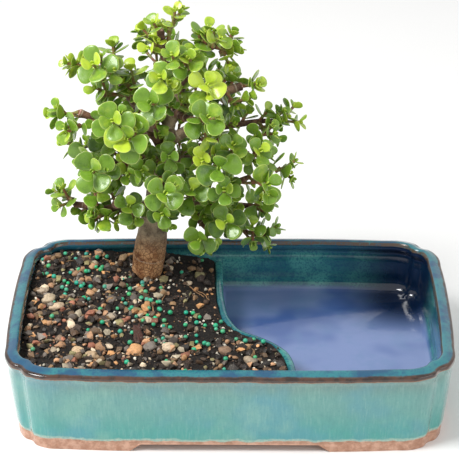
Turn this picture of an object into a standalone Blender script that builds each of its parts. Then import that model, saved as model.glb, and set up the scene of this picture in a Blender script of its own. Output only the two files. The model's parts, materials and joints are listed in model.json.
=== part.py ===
"""Jade bonsai on the planting side of a glazed pot, with a dry pool beside it.

Lengths are in millimetres and become metres when a mesh is made. X runs to the right, Y to the
back and Z up. The pot's centre is the origin until centre_all moves the whole over the origin.
Places on the tree are given as they show from the front, as pixels (u, v) and a depth y in mm.
"""
import math
import random

import bmesh
import bpy
from mathutils import Matrix, Vector
from mathutils.bvhtree import BVHTree

MM = 0.001
GAP = 0.3               # clearance between touching pieces

# Pot
POT_LENGTH = 254.0      # over the lip, at the ends of the sides
POT_WIDTH = 161.5
LONG_BOW = 1.6          # how far the middle of each side bows out
SHORT_BOW = 1.2
# Canted, softly indented corner: distances back from the corner along X and along Y
CORNER = ((0.0, 36.0), (1.4, 20.5), (5.4, 13.4), (10.3, 10.3), (13.4, 5.4), (20.5, 1.4),
          (36.0, 0.0))
CORNER_SHRINK = 0.0293  # how fast the corner gets smaller with the inset
UNDERSIDE = 4.8
FLOOR = 21.6
# Section of the wall from the underside over the lip to the floor: (inset, height)
WALL = ((9.5, UNDERSIDE), (6.4, 5.3), (5.5, 7.2), (4.3, 15.5), (3.0, 27.5), (1.1, 46.6),
        (0.1, 49.3), (0.3, 51.6), (2.0, 52.4), (7.2, 53.4), (7.9, 52.3),
        (7.9, 48.3), (6.6, 47.3), (9.3, 25.9), (11.0, 23.0), (14.0, FLOOR))
UNDER_LIP = 12          # the row of WALL that is just under the lip, inside
HOLLOW_INSET = 21.0     # recess of the underside, inside the ring that the feet stand on
HOLLOW_TOP = 13.0

FOOT_INSETS = (6.4, 20.0)
FOOT_TOP = 6.2
FOOT_LONG = (58.0, 50.0)    # where a foot ends along X: at the ground and at the underside
FOOT_SHORT = (36.0, 30.0)

# Dividing wall in plan, from the back to the front
DIVIDER = ((-7.9, 75.4), (-7.6, 64.0), (-6.1, 25.6), (-2.8, 5.5), (4.4, -9.0), (16.0, -17.0),
           (25.5, -25.4), (30.6, -32.5), (33.4, -41.0), (35.1, -53.2), (36.0, -75.4))
DIVIDER_HALF = 2.4
DIVIDER_TOP = 39.8

DRAIN = (-66.0, 4.0)
DRAIN_RADIUS = 7.0
SCREEN_SIZE = 26.0
SCREEN_BARS = 3
SCREEN_BAR = 2.0
SCREEN_THICK = 1.2

# Soil
SOIL_LEVEL = 43.9
SOIL_STEP = 8.2
BED_START = (-124.0, -78.0)     # front left corner of the grid that the bed is made on
BED_SIZE = (165.0, 156.0)
ROOM_TOP = 62.0
SMALL_STONES = 8
SMALL_FIELD = ((-113.0, 26.0), (-66.0, 66.0))   # where they may lie, along X and along Y
SMALL_LENGTH = (4.6, 7.4)
FLATNESS = 0.68         # a stone's height as a share of its width
TRUNK_FOOT = (146.5, 279, 51)
TRUNK_CLEAR = 15.0      # no small stone is nearer to the middle of the trunk
WALL_CLEAR = 8.5        # nor to the middle of the dividing wall
CORNER_CLEAR = (103.0, 55.0)
# Larger stones: (u, v, length, width, turn in degrees)
STONES = ((49, 300, 10.0, 7.5, 60), (57, 308, 9.5, 7.0, 20), (42, 292, 7.5, 5.5, 10),
          (78, 352, 7.0, 6.0, 30), (92, 357, 8.5, 7.0, 160), (135, 352, 9.0, 8.0, 40),
          (150, 348, 8.5, 6.5, 15), (168, 349, 8.5, 7.0, 150), (123, 259, 9.0, 5.0, 70),
          (92, 248, 8.5, 6.0, 20), (200, 277, 6.5, 5.5, 0), (60, 340, 6.5, 5.0, 100),
          (112, 300, 7.0, 5.5, 130), (225, 352, 7.5, 6.0, 20), (250, 362, 8.0, 6.0, 140))

# Front view that the tree's places are read in
VIEW_POINT = Vector((7.9, -1064.8, 667.3))
VIEW_AXIS = Vector((-0.0071, 0.8829, -0.4695))
VIEW_RIGHT = Vector((1.0, 0.008, 0.0))
VIEW_UP = Vector((-0.0038, 0.4695, 0.8829))
VIEW_CENTRE = (229.5, 230.0)
VIEW_FOCAL = 2103.0

# Wood: for each branch its number of sides and its points (u, v, y, radius)
WOOD = {
    "trunk": (10, ((148, 303, 51, 5.6), (147, 295, 51, 8.4), (146.5, 284, 51, 9.4),
                   (147, 274, 51, 8.8), (148.5, 260, 50.5, 9.7), (150, 249, 50, 9.6),
                   (152, 237, 50, 9.1), (153.5, 224, 49.5, 8.5), (155.5, 211, 49, 7.3),
                   (156.5, 197, 49, 6.5), (158, 182, 49, 5.8), (160, 165, 48, 5.0),
                   (164.5, 142, 48, 4.4), (170, 120, 48, 3.9), (177, 100, 49, 3.4),
                   (180, 86, 50, 3.0), (177, 70, 51, 2.8), (169, 56, 51, 2.6),
                   (163, 44, 50, 2.4), (160, 29, 50, 2.2))),
    "upper_right": (6, ((178, 92, 50, 2.6), (187, 80, 48, 2.5), (190, 68, 48, 2.4),
                        (199, 55, 52, 2.3), (208, 48, 56, 2.5), (218, 43, 58, 2.3))),
    "right_upper": (6, ((176, 102, 49, 2.8), (193, 101, 45, 2.6), (214, 94, 46, 2.4),
                        (229, 90, 50, 2.6), (242, 86, 53, 2.6))),
    "right_1": (7, ((162, 147, 48, 3.5), (175, 138, 46, 3.4), (186, 131, 46, 3.2),
                    (197, 126, 47, 2.8), (215, 127, 50, 2.2), (240, 124, 54, 1.9),
                    (262, 121, 57, 1.6), (275, 121, 59, 1.3))),
    "right_2": (7, ((159, 169, 48, 3.5), (182, 161, 42, 3.2), (205, 158, 38, 2.8),
                    (225, 156, 36, 2.5), (240, 155, 35, 2.9), (249, 156, 34, 3.0))),
    "right_2_tip": (5, ((244, 157, 35, 1.8), (256, 161, 34, 1.5), (269, 165, 34, 1.3))),
    "right_3": (7, ((156, 197, 49, 3.6), (171, 201, 45, 3.2), (186, 205, 42, 2.8),
                    (205, 206, 41, 2.4), (229, 205, 43, 2.1), (250, 206, 46, 1.7))),
    "right_3_up": (5, ((205, 206, 41, 1.9), (221, 193, 34, 2.0), (237, 182, 28, 1.8),
                       (249, 177, 25, 1.5))),
    "right_low": (5, ((188, 206, 41, 2.2), (199, 220, 38, 1.9), (210, 232, 34, 1.5))),
    "right_low_2": (5, ((213, 206, 41, 2.1), (231, 222, 42, 1.8), (249, 233, 43, 1.4))),
    "left_a": (6, ((156, 168, 49, 3.2), (140, 158, 44, 2.4), (119, 163, 38, 2.0),
                   (105, 171, 32, 1.6))),
    "left_e": (5, ((147, 160, 47, 2.2), (126, 151, 53, 1.9), (106, 147, 60, 1.6),
                   (92, 146, 65, 1.3))),
    "left_b": (7, ((154, 206, 49, 3.6), (143, 206, 46, 2.9), (130, 210, 44, 2.5),
                   (117, 208, 43, 2.5), (100, 209, 43, 2.1), (87, 206, 45, 2.0),
                   (74, 204, 47, 1.9))),
    "left_b_stub": (7, ((119, 209, 44, 2.6), (117, 206, 37, 3.0), (116, 204, 32, 2.8))),
    "left_c": (7, ((163, 142, 48, 3.3), (152, 128, 47, 2.9), (141, 112, 49, 2.7),
                   (130, 97, 52, 2.4), (121, 83, 56, 2.1), (109, 73, 60, 1.7),
                   (99, 67, 63, 1.4))),
    "left_d": (6, ((144, 117, 49, 2.3), (128, 123, 40, 2.1), (114, 124, 34, 1.9),
                   (96, 119, 31, 2.1), (79, 112, 30, 2.2))),
    "front_1": (6, ((159, 172, 46, 2.8), (160, 177, 32, 2.2), (163, 189, 17, 1.7))),
    "front_2": (6, ((160, 146, 46, 2.6), (151, 135, 33, 2.1), (140, 135, 22, 1.6))),
    "front_3": (6, ((174, 113, 46, 2.6), (187, 118, 32, 2.0), (198, 121, 20, 1.6))),
    "back_1": (6, ((157, 192, 51, 3.4), (150, 181, 62, 2.7), (140, 170, 74, 2.0),
                   (131, 163, 83, 1.4))),
    "back_2": (6, ((160, 172, 50, 3.3), (172, 160, 63, 2.6), (190, 150, 74, 2.0),
                   (204, 146, 83, 1.4))),
    "back_3": (6, ((165, 144, 50, 3.2), (158, 128, 62, 2.4), (146, 111, 73, 1.9),
                   (137, 99, 80, 1.3))),
    "back_4": (6, ((171, 122, 50, 3.0), (183, 108, 61, 2.2), (199, 97, 71, 1.8),
                   (211, 90, 78, 1.3))),
    "back_5": (6, ((178, 98, 51, 2.6), (172, 80, 60, 2.0), (165, 63, 67, 1.6),
                   (160, 51, 72, 1.2))),
    "back_6": (6, ((158, 187, 51, 3.0), (169, 188, 63, 2.4), (186, 190, 75, 1.9),
                   (201, 192, 83, 1.3))),
}

# Shoots: (name, start (u, v, y), tip (u, v, y), pairs, leaf length, first pair's turn in degrees).
# A side shoot has no name of its own, and its start is a share of the way along the named shoot
# before it, which it is one piece with.
SHOOTS = (
    ("top", (165, 47, 50), (175, 11, 48), 3, 8.5, 0),
    ("top_left", (168, 56, 54), (143, 29, 62), 3, 9.5, 40),
    ("", 0.3, (149, 48, 44), 1, 10.5, 10),
    ("upper_right", (197, 57, 51), (208, 29, 46), 4, 10.5, 30),
    ("", 0.3, (220, 38, 38), 2, 9.5, 60),
    ("upper_far", (213, 46, 56), (231, 50, 58), 3, 8.5, 80),
    ("", 0.3, (229, 64, 48), 2, 9.0, 30),
    ("upper_front", (188, 78, 48), (188, 59, 26), 3, 10.5, 45),
    ("", 0.3, (172, 55, 22), 2, 10.5, 20),
    ("upper_middle", (176, 84, 49), (160, 77, 22), 3, 10.5, 10),
    ("upper_dark", (173, 106, 47), (151, 103, 14), 3, 13.0, 60),
    ("left_upper_1", (138, 105, 50), (131, 69, 50), 3, 10.5, 20),
    ("left_upper_2", (117, 80, 56), (113, 46, 60), 4, 10.5, 50),
    ("left_far", (99, 67, 63), (75, 63, 68), 3, 10.5, 70),
    ("left_big", (111, 75, 58), (93, 64, 34), 3, 12.5, 30),
    ("", 0.3, (114, 70, 38), 2, 9.5, 0),
    ("left_under", (126, 95, 53), (96, 88, 44), 3, 10.5, 60),
    ("left_star", (122, 123, 36), (112, 121, 4), 3, 12.5, 20),
    ("left_round", (140, 135, 22), (127, 139, 4), 3, 15.0, 80),
    ("left_tip", (79, 112, 30), (52, 114, 34), 3, 9.5, 40),
    ("left_tip_low", (96, 120, 30), (67, 127, 18), 3, 10.0, 10),
    ("left_mid_1", (92, 146, 65), (66, 143, 64), 3, 11.0, 30),
    ("left_mid_2", (106, 148, 58), (84, 157, 36), 3, 12.5, 75),
    ("left_mid_3", (116, 149, 55), (105, 138, 32), 3, 11.5, 15),
    ("left_low_1", (105, 171, 32), (92, 171, 6), 3, 14.0, 50),
    ("left_low_2", (75, 204, 47), (63, 188, 44), 4, 10.0, 0),
    ("left_low_3", (93, 207, 44), (98, 189, 26), 3, 9.5, 30),
    ("left_low_4", (132, 210, 42), (129, 206, 16), 3, 10.5, 65),
    ("left_drop", (109, 209, 42), (107, 217, 32), 1, 14.0, 90),
    ("", 0.3, (94, 218, 34), 2, 9.5, 20),
    ("left_hang", (126, 162, 39), (128, 175, 22), 2, 10.5, 55),
    ("centre_small", (147, 161, 43), (142, 171, 18), 3, 8.5, 35),
    ("centre_dark", (165, 149, 45), (169, 157, 18), 2, 10.5, 0),
    ("centre_front", (163, 189, 17), (165, 193, -4), 4, 12.5, 45),
    ("centre_low", (166, 200, 46), (162, 214, 18), 3, 10.0, 20),
    ("right_front", (192, 205, 41), (192, 190, 14), 3, 12.0, 70),
    ("right_yellow", (200, 158, 37), (202, 160, 12), 2, 9.5, 15),
    ("right_star", (198, 121, 20), (208, 117, 2), 3, 13.0, 30),
    ("", 0.2, (206, 138, 10), 2, 12.5, 80),
    ("right_bright", (205, 97, 45), (207, 84, 18), 3, 12.5, 55),
    ("right_upper_1", (226, 91, 48), (236, 106, 42), 3, 9.5, 25),
    ("right_droop", (242, 86, 53), (252, 84, 52), 2, 13.5, 75),
    ("right_tip", (275, 121, 59), (288, 117, 60), 2, 8.5, 45),
    ("right_tip_low", (258, 122, 56), (277, 138, 50), 3, 10.0, 0),
    ("", 0.4, (256, 137, 36), 2, 9.5, 30),
    ("right_2_tip", (269, 165, 34), (288, 172, 34), 3, 11.0, 60),
    ("right_2_up", (249, 156, 34), (260, 151, 16), 3, 10.0, 10),
    ("right_2_mid", (231, 156, 35), (233, 145, 14), 3, 10.0, 40),
    ("right_big", (217, 157, 36), (219, 168, 6), 2, 14.5, 85),
    ("right_gloss", (249, 177, 25), (267, 184, 6), 2, 13.5, 20),
    ("right_3_tip", (250, 206, 46), (260, 200, 34), 3, 10.5, 50),
    ("right_3_mid", (225, 190, 32), (224, 190, 6), 3, 10.0, 5),
    ("right_low_1", (229, 220, 42), (226, 222, 14), 4, 11.5, 35),
    ("right_low_2", (209, 231, 34), (200, 240, 16), 4, 11.5, 60),
    ("right_low_3", (249, 233, 43), (266, 235, 38), 4, 9.5, 15),
    ("", 0.3, (252, 226, 26), 2, 9.5, 70),
    ("back_1", (131, 163, 83), (106, 158, 96), 3, 13.5, 10),
    ("", 0.3, (116, 184, 90), 3, 12.5, 60), ("", 0.2, (138, 150, 104), 2, 13.0, 30),
    ("back_2", (204, 146, 83), (232, 142, 92), 3, 13.5, 50),
    ("", 0.3, (222, 166, 98), 3, 12.5, 10), ("", 0.2, (198, 130, 104), 2, 13.0, 80),
    ("back_3", (137, 99, 80), (110, 92, 88), 3, 13.0, 80),
    ("", 0.3, (122, 120, 96), 3, 12.5, 20), ("", 0.3, (138, 72, 92), 2, 12.0, 50),
    ("back_4", (211, 90, 78), (236, 80, 82), 3, 13.0, 30),
    ("", 0.3, (230, 112, 90), 3, 12.5, 70), ("", 0.3, (204, 66, 86), 2, 12.0, 0),
    ("back_5", (160, 51, 72), (146, 36, 80), 2, 12.0, 60),
    ("", 0.3, (176, 42, 80), 2, 12.0, 15), ("", 0.3, (160, 70, 94), 2, 12.0, 40),
    ("back_6", (201, 192, 83), (228, 186, 88), 3, 13.0, 20),
    ("", 0.3, (212, 212, 88), 3, 12.5, 65), ("", 0.2, (196, 180, 104), 2, 13.0, 35),
    ("back_7", (170, 122, 54), (172, 100, 102), 3, 13.5, 25),
    ("back_8", (160, 160, 49), (164, 168, 104), 3, 13.5, 70),
    ("back_9", (155, 214, 50), (160, 204, 96), 3, 13.0, 0),
)

# Leaves and their stems
# Leaf rim from root to tip: (way along, half width as a share of the widest)
LEAF_RIM = ((0.0, 0.0), (0.36, 0.76), (0.76, 0.96), (1.0, 0.0))
LEAF_MIDDLE = 0.58
LEAF_THICK = 0.115      # share of the length
LEAF_THICK_LEAST = 0.9
LEAF_STOUT = (0.76, 0.9)    # width as a share of the length, least and most
LEAF_ROOT = 0.45        # half the height of a leaf's root on its stem
STEM_BASE = 1.0
STEM_TIP = 0.65
# From the tip down: size of a pair, its angle up from square to the stem, and the way to the next
PAIR_SIZE = (0.74, 1.0, 1.04, 0.98)
PAIR_LIFT = (46, 22, 10, 4)
PAIR_STEP = (0.34, 0.5, 0.6, 0.6)
# Turns, lifts and sizes tried for a leaf until it is clear of what is there
TRIES = tuple((spin, lift, size) for size in (1.0, 0.86, 0.72) for lift in (0, 18, -18, 36)
              for spin in (0, 14, -14, 28, -28, 45, -45))

# Curves and meshes


def smooth_path(points, steps, closed=False):
    """Points on a smooth curve through the given ones, with steps pieces between two of them."""
    count = len(points)
    points = [Vector(point) for point in points]
    spans = count if closed else count - 1
    tangents = []
    for i in range(count):
        before = points[i - 1] if closed or i > 0 else None
        after = points[(i + 1) % count] if closed or i < count - 1 else None
        if before is None:
            tangents.append((after - points[i]).normalized())
        elif after is None:
            tangents.append((points[i] - before).normalized())
        else:
            near = points[i] - before
            far = after - points[i]
            blend = near / near.length * far.length + far / far.length * near.length
            tangents.append(blend / (near.length + far.length))
    path = []
    for i in range(spans):
        start = points[i]
        end = points[(i + 1) % count]
        reach = (end - start).length
        for k in range(steps):
            t = k / steps
            path.append(start * (2 * t**3 - 3 * t**2 + 1) + end * (3 * t**2 - 2 * t**3)
                        + tangents[i] * reach * (t**3 - 2 * t**2 + t)
                        + tangents[(i + 1) % count] * reach * (t**3 - t**2))
    if not closed:
        path.append(points[-1])
    return path


def loft(rings):
    """Points and faces of a closed solid through rings of equal length, with flat ends."""
    size = len(rings[0])
    points = [point for ring in rings for point in ring]
    faces = [tuple(reversed(range(size)))]
    for row in range(len(rings) - 1):
        low = row * size
        for i in range(size):
            j = (i + 1) % size
            faces.append((low + i, low + j, low + size + j, low + size + i))
    faces.append(tuple(range(len(points) - size, len(points))))
    return points, faces


def tube(path, radii, sides, turn=0.0):
    """Points and faces of a round bar along a path."""
    rings = []
    side = None
    for i, place in enumerate(path):
        ahead = path[min(i + 1, len(path) - 1)] - path[max(i - 1, 0)]
        ahead.normalize()
        if side is None:
            side = ahead.orthogonal().normalized()
        side = (side - ahead * side.dot(ahead)).normalized()
        up = ahead.cross(side)
        ring = []
        for k in range(sides):
            angle = turn + 2 * math.pi * k / sides
            ring.append(place + (side * math.cos(angle) + up * math.sin(angle)) * radii[i])
        rings.append(ring)
    return loft(rings)


def make_object(name, points, faces):
    """A mesh object of millimetre points, with its faces turned out."""
    mesh = bpy.data.meshes.new(name)
    mesh.from_pydata([Vector(point) * MM for point in points], [], faces)
    shape = bmesh.new()
    shape.from_mesh(mesh)
    bmesh.ops.recalc_face_normals(shape, faces=shape.faces)
    shape.to_mesh(mesh)
    shape.free()
    thing = bpy.data.objects.new(name, mesh)
    bpy.context.scene.collection.objects.link(thing)
    return thing


def prism(name, outline, low, high):
    """An upright prism on a plan outline."""
    rings = [[(x, y, z) for x, y in outline] for z in (low, high)]
    return make_object(name, *loft(rings))


def combine(target, others, operation="UNION", solver="EXACT"):
    """Applies one Boolean of a collection of objects to the target and removes the collection."""
    group = bpy.data.collections.new("operands")
    bpy.context.scene.collection.children.link(group)
    for other in others:
        bpy.context.scene.collection.objects.unlink(other)
        group.objects.link(other)
    modifier = target.modifiers.new("combine", "BOOLEAN")
    modifier.operand_type = "COLLECTION"
    modifier.collection = group
    modifier.operation = operation
    modifier.solver = solver
    bpy.context.view_layer.update()
    graph = bpy.context.evaluated_depsgraph_get()
    result = bpy.data.meshes.new_from_object(target.evaluated_get(graph))
    old = target.data
    target.modifiers.remove(modifier)
    target.data = result
    bpy.data.meshes.remove(old)
    for other in list(group.objects):
        bpy.data.objects.remove(other)
    bpy.data.collections.remove(group)
    result.name = target.name
    return target


def keep_largest(thing):
    """Drops loose scraps and sealed hollows that a union leaves."""
    shape = bmesh.new()
    shape.from_mesh(thing.data)
    unseen = set(shape.verts)
    islands = []
    while unseen:
        queue = [unseen.pop()]
        island = set(queue)
        while queue:
            vert = queue.pop()
            for edge in vert.link_edges:
                other = edge.other_vert(vert)
                if other in unseen:
                    unseen.discard(other)
                    island.add(other)
                    queue.append(other)
        islands.append(island)
    islands.sort(key=len)
    scraps = [vert for island in islands[:-1] for vert in island]
    bmesh.ops.delete(shape, geom=scraps, context="VERTS")
    shape.to_mesh(thing.data)
    shape.free()


def finish(thing, material, smooth_angle=None):
    """Gives the object its material and shading."""
    thing.data.materials.clear()
    thing.data.materials.append(material)
    if smooth_angle:
        thing.data.shade_smooth()
        thing.data.set_sharp_from_angle(angle=math.radians(smooth_angle))


def make_material(name, colour, roughness):
    """A Principled material; all of them are non-metals."""
    material = bpy.data.materials.new(name)
    material.use_nodes = True
    shader = material.node_tree.nodes["Principled BSDF"]
    shader.inputs["Base Color"].default_value = (*colour, 1.0)
    shader.inputs["Roughness"].default_value = roughness
    shader.inputs["Metallic"].default_value = 0.0
    return material


# Pot


def outline(inset):
    """The pot's plan outline, moved in by the inset."""
    half_x = POT_LENGTH / 2 - inset
    half_y = POT_WIDTH / 2 - inset
    scale = 1 - CORNER_SHRINK * inset
    corner = [(half_x - a * scale, half_y - b * scale) for a, b in CORNER]
    quarter = [(half_x + SHORT_BOW, 0.0)] + corner + [(0.0, half_y + LONG_BOW)]
    points = quarter[:-1]
    points += [(-x, y) for x, y in reversed(quarter[1:])]
    points += [(-x, -y) for x, y in quarter[:-1]]
    points += [(x, -y) for x, y in reversed(quarter[1:])]
    path = smooth_path([(x, y, 0.0) for x, y in points], 2, closed=True)
    long_spans = [k for k in range(1, len(path), 2)
                  if (path[k] - path[k - 1]).length > LONG_BOW + SHORT_BOW + 30]
    return [(point.x, point.y) for k, point in enumerate(path) if k not in long_spans]


def wall_loft(rows, name):
    """A solid through the pot's outline at rows of (inset, height)."""
    rings = [[(x, y, z) for x, y in outline(inset)] for inset, z in rows]
    return make_object(name, *loft(rings))


def trapezoid(name, reach, across, ends):
    """A bar across the pot, wider at the ground than at the underside."""
    low, high = ends
    section = ((-low, -1.0), (low, -1.0), (high, UNDERSIDE), (-high, UNDERSIDE))
    rings = []
    for side in (-reach, reach):
        rings.append([(a, side, z) if across == "Y" else (side, a, z) for a, z in section])
    return make_object(name, *loft(rings))


def divider_line():
    """The middle line of the dividing wall in plan."""
    return smooth_path([(x, y, 0.0) for x, y in DIVIDER], 2)


def beside(line, shift):
    """The line moved sideways, to its left as it runs."""
    moved = []
    for i, place in enumerate(line):
        ahead = line[min(i + 1, len(line) - 1)] - line[max(i - 1, 0)]
        moved.append(place + Vector((-ahead.y, ahead.x, 0.0)).normalized() * shift)
    return moved


def make_divider():
    """The dividing wall, with a rounded top, its foot and ends sunk in the body."""
    line = divider_line()
    half = DIVIDER_HALF
    section = ((-half, FLOOR - 3), (-half, DIVIDER_TOP - 1.5), (-half * 0.6, DIVIDER_TOP - 0.3),
               (half * 0.6, DIVIDER_TOP - 0.3), (half, DIVIDER_TOP - 1.5), (half, FLOOR - 3))
    columns = [beside(line, shift) for shift, _ in section]
    rings = []
    for i in range(len(line)):
        rings.append([(column[i].x, column[i].y, z) for column, (_, z) in zip(columns, section)])
    return make_object("divider", *loft(rings))


def cylinder(name, centre, radius, low, high, sides=14):
    """An upright round bar."""
    ring = [(centre[0] + radius * math.cos(2 * math.pi * k / sides),
             centre[1] + radius * math.sin(2 * math.pi * k / sides)) for k in range(sides)]
    return prism(name, ring, low, high)


def make_pot(material):
    """Body, dividing wall, corner feet and drain hole, fired as one piece."""
    pot = wall_loft(WALL, "pot")
    feet = wall_loft(((FOOT_INSETS[0], 0.0), (FOOT_INSETS[0] - 0.6, FOOT_TOP)), "feet")
    wide = POT_LENGTH / 2 - FOOT_INSETS[1]
    deep = POT_WIDTH / 2 - FOOT_INSETS[1]
    inner = [(-wide, -deep), (wide, -deep), (wide, deep), (-wide, deep)]
    inside = prism("inside", inner, -1.0, FOOT_TOP + 1)
    cuts = [inside, trapezoid("cut_x", POT_WIDTH, "Y", FOOT_LONG),
            trapezoid("cut_y", POT_LENGTH, "X", FOOT_SHORT)]
    for cut in cuts:
        combine(feet, [cut], "DIFFERENCE")
    combine(pot, [feet, make_divider()])
    hollow = wall_loft(((HOLLOW_INSET, -1.0), (HOLLOW_INSET + 1.0, HOLLOW_TOP)), "hollow")
    combine(pot, [hollow], "DIFFERENCE")
    combine(pot, [cylinder("drain", DRAIN, DRAIN_RADIUS, 0.0, FLOOR + 2)], "DIFFERENCE")
    finish(pot, material, 40)
    return pot


def make_screen(material):
    """The plastic mesh that lies over the drain hole."""
    low = FLOOR + GAP
    half = SCREEN_SIZE / 2
    bars = []
    for k in range(SCREEN_BARS):
        middle = -half + SCREEN_BAR / 2 + k * (SCREEN_SIZE - SCREEN_BAR) / (SCREEN_BARS - 1)
        for turned in (False, True):
            a, b = middle - SCREEN_BAR / 2, middle + SCREEN_BAR / 2
            shape = [(-half, a), (half, a), (half, b), (-half, b)]
            if turned:
                shape = [(y, x) for x, y in reversed(shape)]
            place = [(DRAIN[0] + x, DRAIN[1] + y) for x, y in shape]
            bars.append(prism("bar", place, low, low + SCREEN_THICK))
    screen = bars[0]
    screen.name = "drain_screen"
    combine(screen, bars[1:])
    finish(screen, material)
    return screen


# Soil


def clamp(value):
    """The value held between 0 and 1."""
    return max(0.0, min(1.0, value))


def divider_x(y):
    """Where the dividing wall's middle line is at a depth."""
    line = divider_line()
    return min(line, key=lambda place: abs(place.y - y)).x


def soil_height(x, y):
    """The bed: higher at the back left, lower along the dividing wall, gently uneven."""
    height = SOIL_LEVEL + 4.2 * clamp((-x - 55) / 50) * clamp((y + 10) / 70)
    height += 1.6 * math.exp(-((x + 50)**2 + (y - 48)**2) / 900)
    height -= 4.0 * clamp((x - divider_x(y) + 30) / 28)
    height += 0.55 * math.sin(0.31 * x + 1.3) * math.cos(0.27 * y)
    height += 0.5 * math.sin(0.13 * x - 0.19 * y)
    return height


def planting_side(shift):
    """Plan outline of all that lies beyond the dividing wall's planting face."""
    edge = beside(divider_line(), -DIVIDER_HALF - shift)
    reach = POT_LENGTH
    return [(reach, POT_WIDTH), (edge[0].x, POT_WIDTH)] + [(p.x, p.y) for p in edge] + [
        (edge[-1].x, -POT_WIDTH), (reach, -POT_WIDTH)]


def stone(place, size, turn, seed):
    """Points and faces of a pebble: a jittered 20-faced ball, flattened."""
    draws = random.Random(seed)
    shape = bmesh.new()
    bmesh.ops.create_icosphere(shape, subdivisions=1, radius=0.5)
    tilt = Matrix.Rotation(draws.uniform(-0.2, 0.2), 3, "X")
    spin = Matrix.Rotation(math.radians(turn), 3, "Z") @ tilt
    points = []
    for vert in shape.verts:
        stretch = draws.uniform(0.88, 1.12)
        points.append(place + spin @ Vector([a * b * stretch for a, b in zip(vert.co, size)]))
    faces = [tuple(vert.index for vert in face.verts) for face in shape.faces]
    shape.free()
    return points, faces


def seen(u, v, y):
    """The point at depth y that shows at pixel (u, v) of the front view."""
    ray = VIEW_AXIS + VIEW_RIGHT * ((u - VIEW_CENTRE[0]) / VIEW_FOCAL)
    ray = ray + VIEW_UP * ((VIEW_CENTRE[1] - v) / VIEW_FOCAL)
    return VIEW_POINT + ray * ((y - VIEW_POINT.y) / ray.y)


def seen_on_soil(u, v):
    """The point of the soil that shows at pixel (u, v)."""
    ray = seen(u, v, 0.0) - VIEW_POINT
    place = VIEW_POINT + ray * ((SOIL_LEVEL - VIEW_POINT.z) / ray.z)
    for _ in range(4):
        height = soil_height(place.x, place.y)
        place = VIEW_POINT + ray * ((height - VIEW_POINT.z) / ray.z)
    return place


def stone_places():
    """Larger stones by hand, then small ones strewn clear of them and of the trunk."""
    rows = [(seen_on_soil(u, v), length, width, turn) for u, v, length, width, turn in STONES]
    draws = random.Random(11)
    trunk = seen(*TRUNK_FOOT)
    while len(rows) < len(STONES) + SMALL_STONES:
        x = draws.uniform(*SMALL_FIELD[0])
        y = draws.uniform(*SMALL_FIELD[1])
        length = draws.uniform(*SMALL_LENGTH)
        if x > divider_x(y) - WALL_CLEAR:
            continue
        if abs(x) > CORNER_CLEAR[0] and abs(y) > CORNER_CLEAR[1]:
            continue
        place = Vector((x, y, soil_height(x, y)))
        if (place - trunk).xy.length < TRUNK_CLEAR:
            continue
        if all((place - other).xy.length > 0.62 * (length + size) for other, size, _, _ in rows):
            width = length * draws.uniform(0.65, 0.9)
            rows.append((place, length, width, draws.uniform(0, 180)))
    return rows


def make_soil(trunk_points, material):
    """The bed of the planting side with its stones, cut to the pot, the screen and the trunk."""
    columns = int(BED_SIZE[0] / SOIL_STEP)
    rows = int(BED_SIZE[1] / SOIL_STEP)
    points = []
    for level in ("top", "bottom"):
        for j in range(rows + 1):
            for i in range(columns + 1):
                x = BED_START[0] + i * SOIL_STEP
                y = BED_START[1] + j * SOIL_STEP
                points.append((x, y, soil_height(x, y) if level == "top" else FLOOR - 1.0))
    wide = columns + 1
    under = wide * (rows + 1)
    faces = []
    for j in range(rows):
        for i in range(columns):
            a = j * wide + i
            faces.append((a, a + 1, a + wide + 1))
            faces.append((a, a + wide + 1, a + wide))
    ring = list(range(wide)) + [wide * (j + 1) - 1 for j in range(1, rows + 1)]
    ring += [wide * rows + i for i in range(columns - 1, -1, -1)]
    ring += [wide * j for j in range(rows - 1, 0, -1)]
    for a, b in zip(ring, ring[1:] + ring[:1]):
        faces.append((b, a, a + under, b + under))
    faces.append(tuple(a + under for a in reversed(ring)))
    used = sorted({k for face in faces for k in face})
    order = {old: new for new, old in enumerate(used)}
    faces = [tuple(order[k] for k in face) for face in faces]
    soil = make_object("soil", [points[k] for k in used], faces)
    stones = []
    for seed, (place, length, width, turn) in enumerate(stone_places()):
        size = (length, width, FLATNESS * width)
        lift = Vector((0, 0, 0.12 * width))
        stones.append(make_object("stone", *stone(place + lift, size, turn, seed)))
    combine(soil, stones)
    room = [(inset + GAP, z) for inset, z in reversed(WALL[UNDER_LIP:])]
    room[0] = (room[0][0], FLOOR + GAP)
    lip_inset, lip_height = WALL[UNDER_LIP - 1]
    room[-1] = (room[-1][0], room[-1][1] - GAP)
    room += [(lip_inset + GAP, lip_height - GAP), (lip_inset + GAP, ROOM_TOP)]
    combine(soil, [wall_loft(room, "room")], "INTERSECT")
    combine(soil, [prism("pool_side", planting_side(GAP), 0.0, ROOM_TOP + 2)], "DIFFERENCE")
    half = SCREEN_SIZE / 2 + GAP
    square = ((-1, -1), (1, -1), (1, 1), (-1, 1))
    recess = [(DRAIN[0] + a * half, DRAIN[1] + b * half) for a, b in square]
    combine(soil, [prism("recess", recess, FLOOR - 2, FLOOR + SCREEN_THICK + 2 * GAP)], "DIFFERENCE")
    path, radii = trunk_points
    hole = [radius + GAP for radius in radii]
    start = path[0] - (path[1] - path[0]).normalized() * GAP
    combine(soil, [make_object("hole", *tube([start] + path[1:], hole, 10))], "DIFFERENCE")
    keep_largest(soil)
    finish(soil, material)
    return soil


# Tree


def wood_tubes():
    """Each branch as (path, radii, points, faces)."""
    tubes = {}
    for name, (sides, rows) in WOOD.items():
        path = [seen(u, v, y) for u, v, y, _ in rows]
        radii = [radius for _, _, _, radius in rows]
        tubes[name] = (path, radii, *tube(path, radii, sides))
    return tubes


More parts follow.
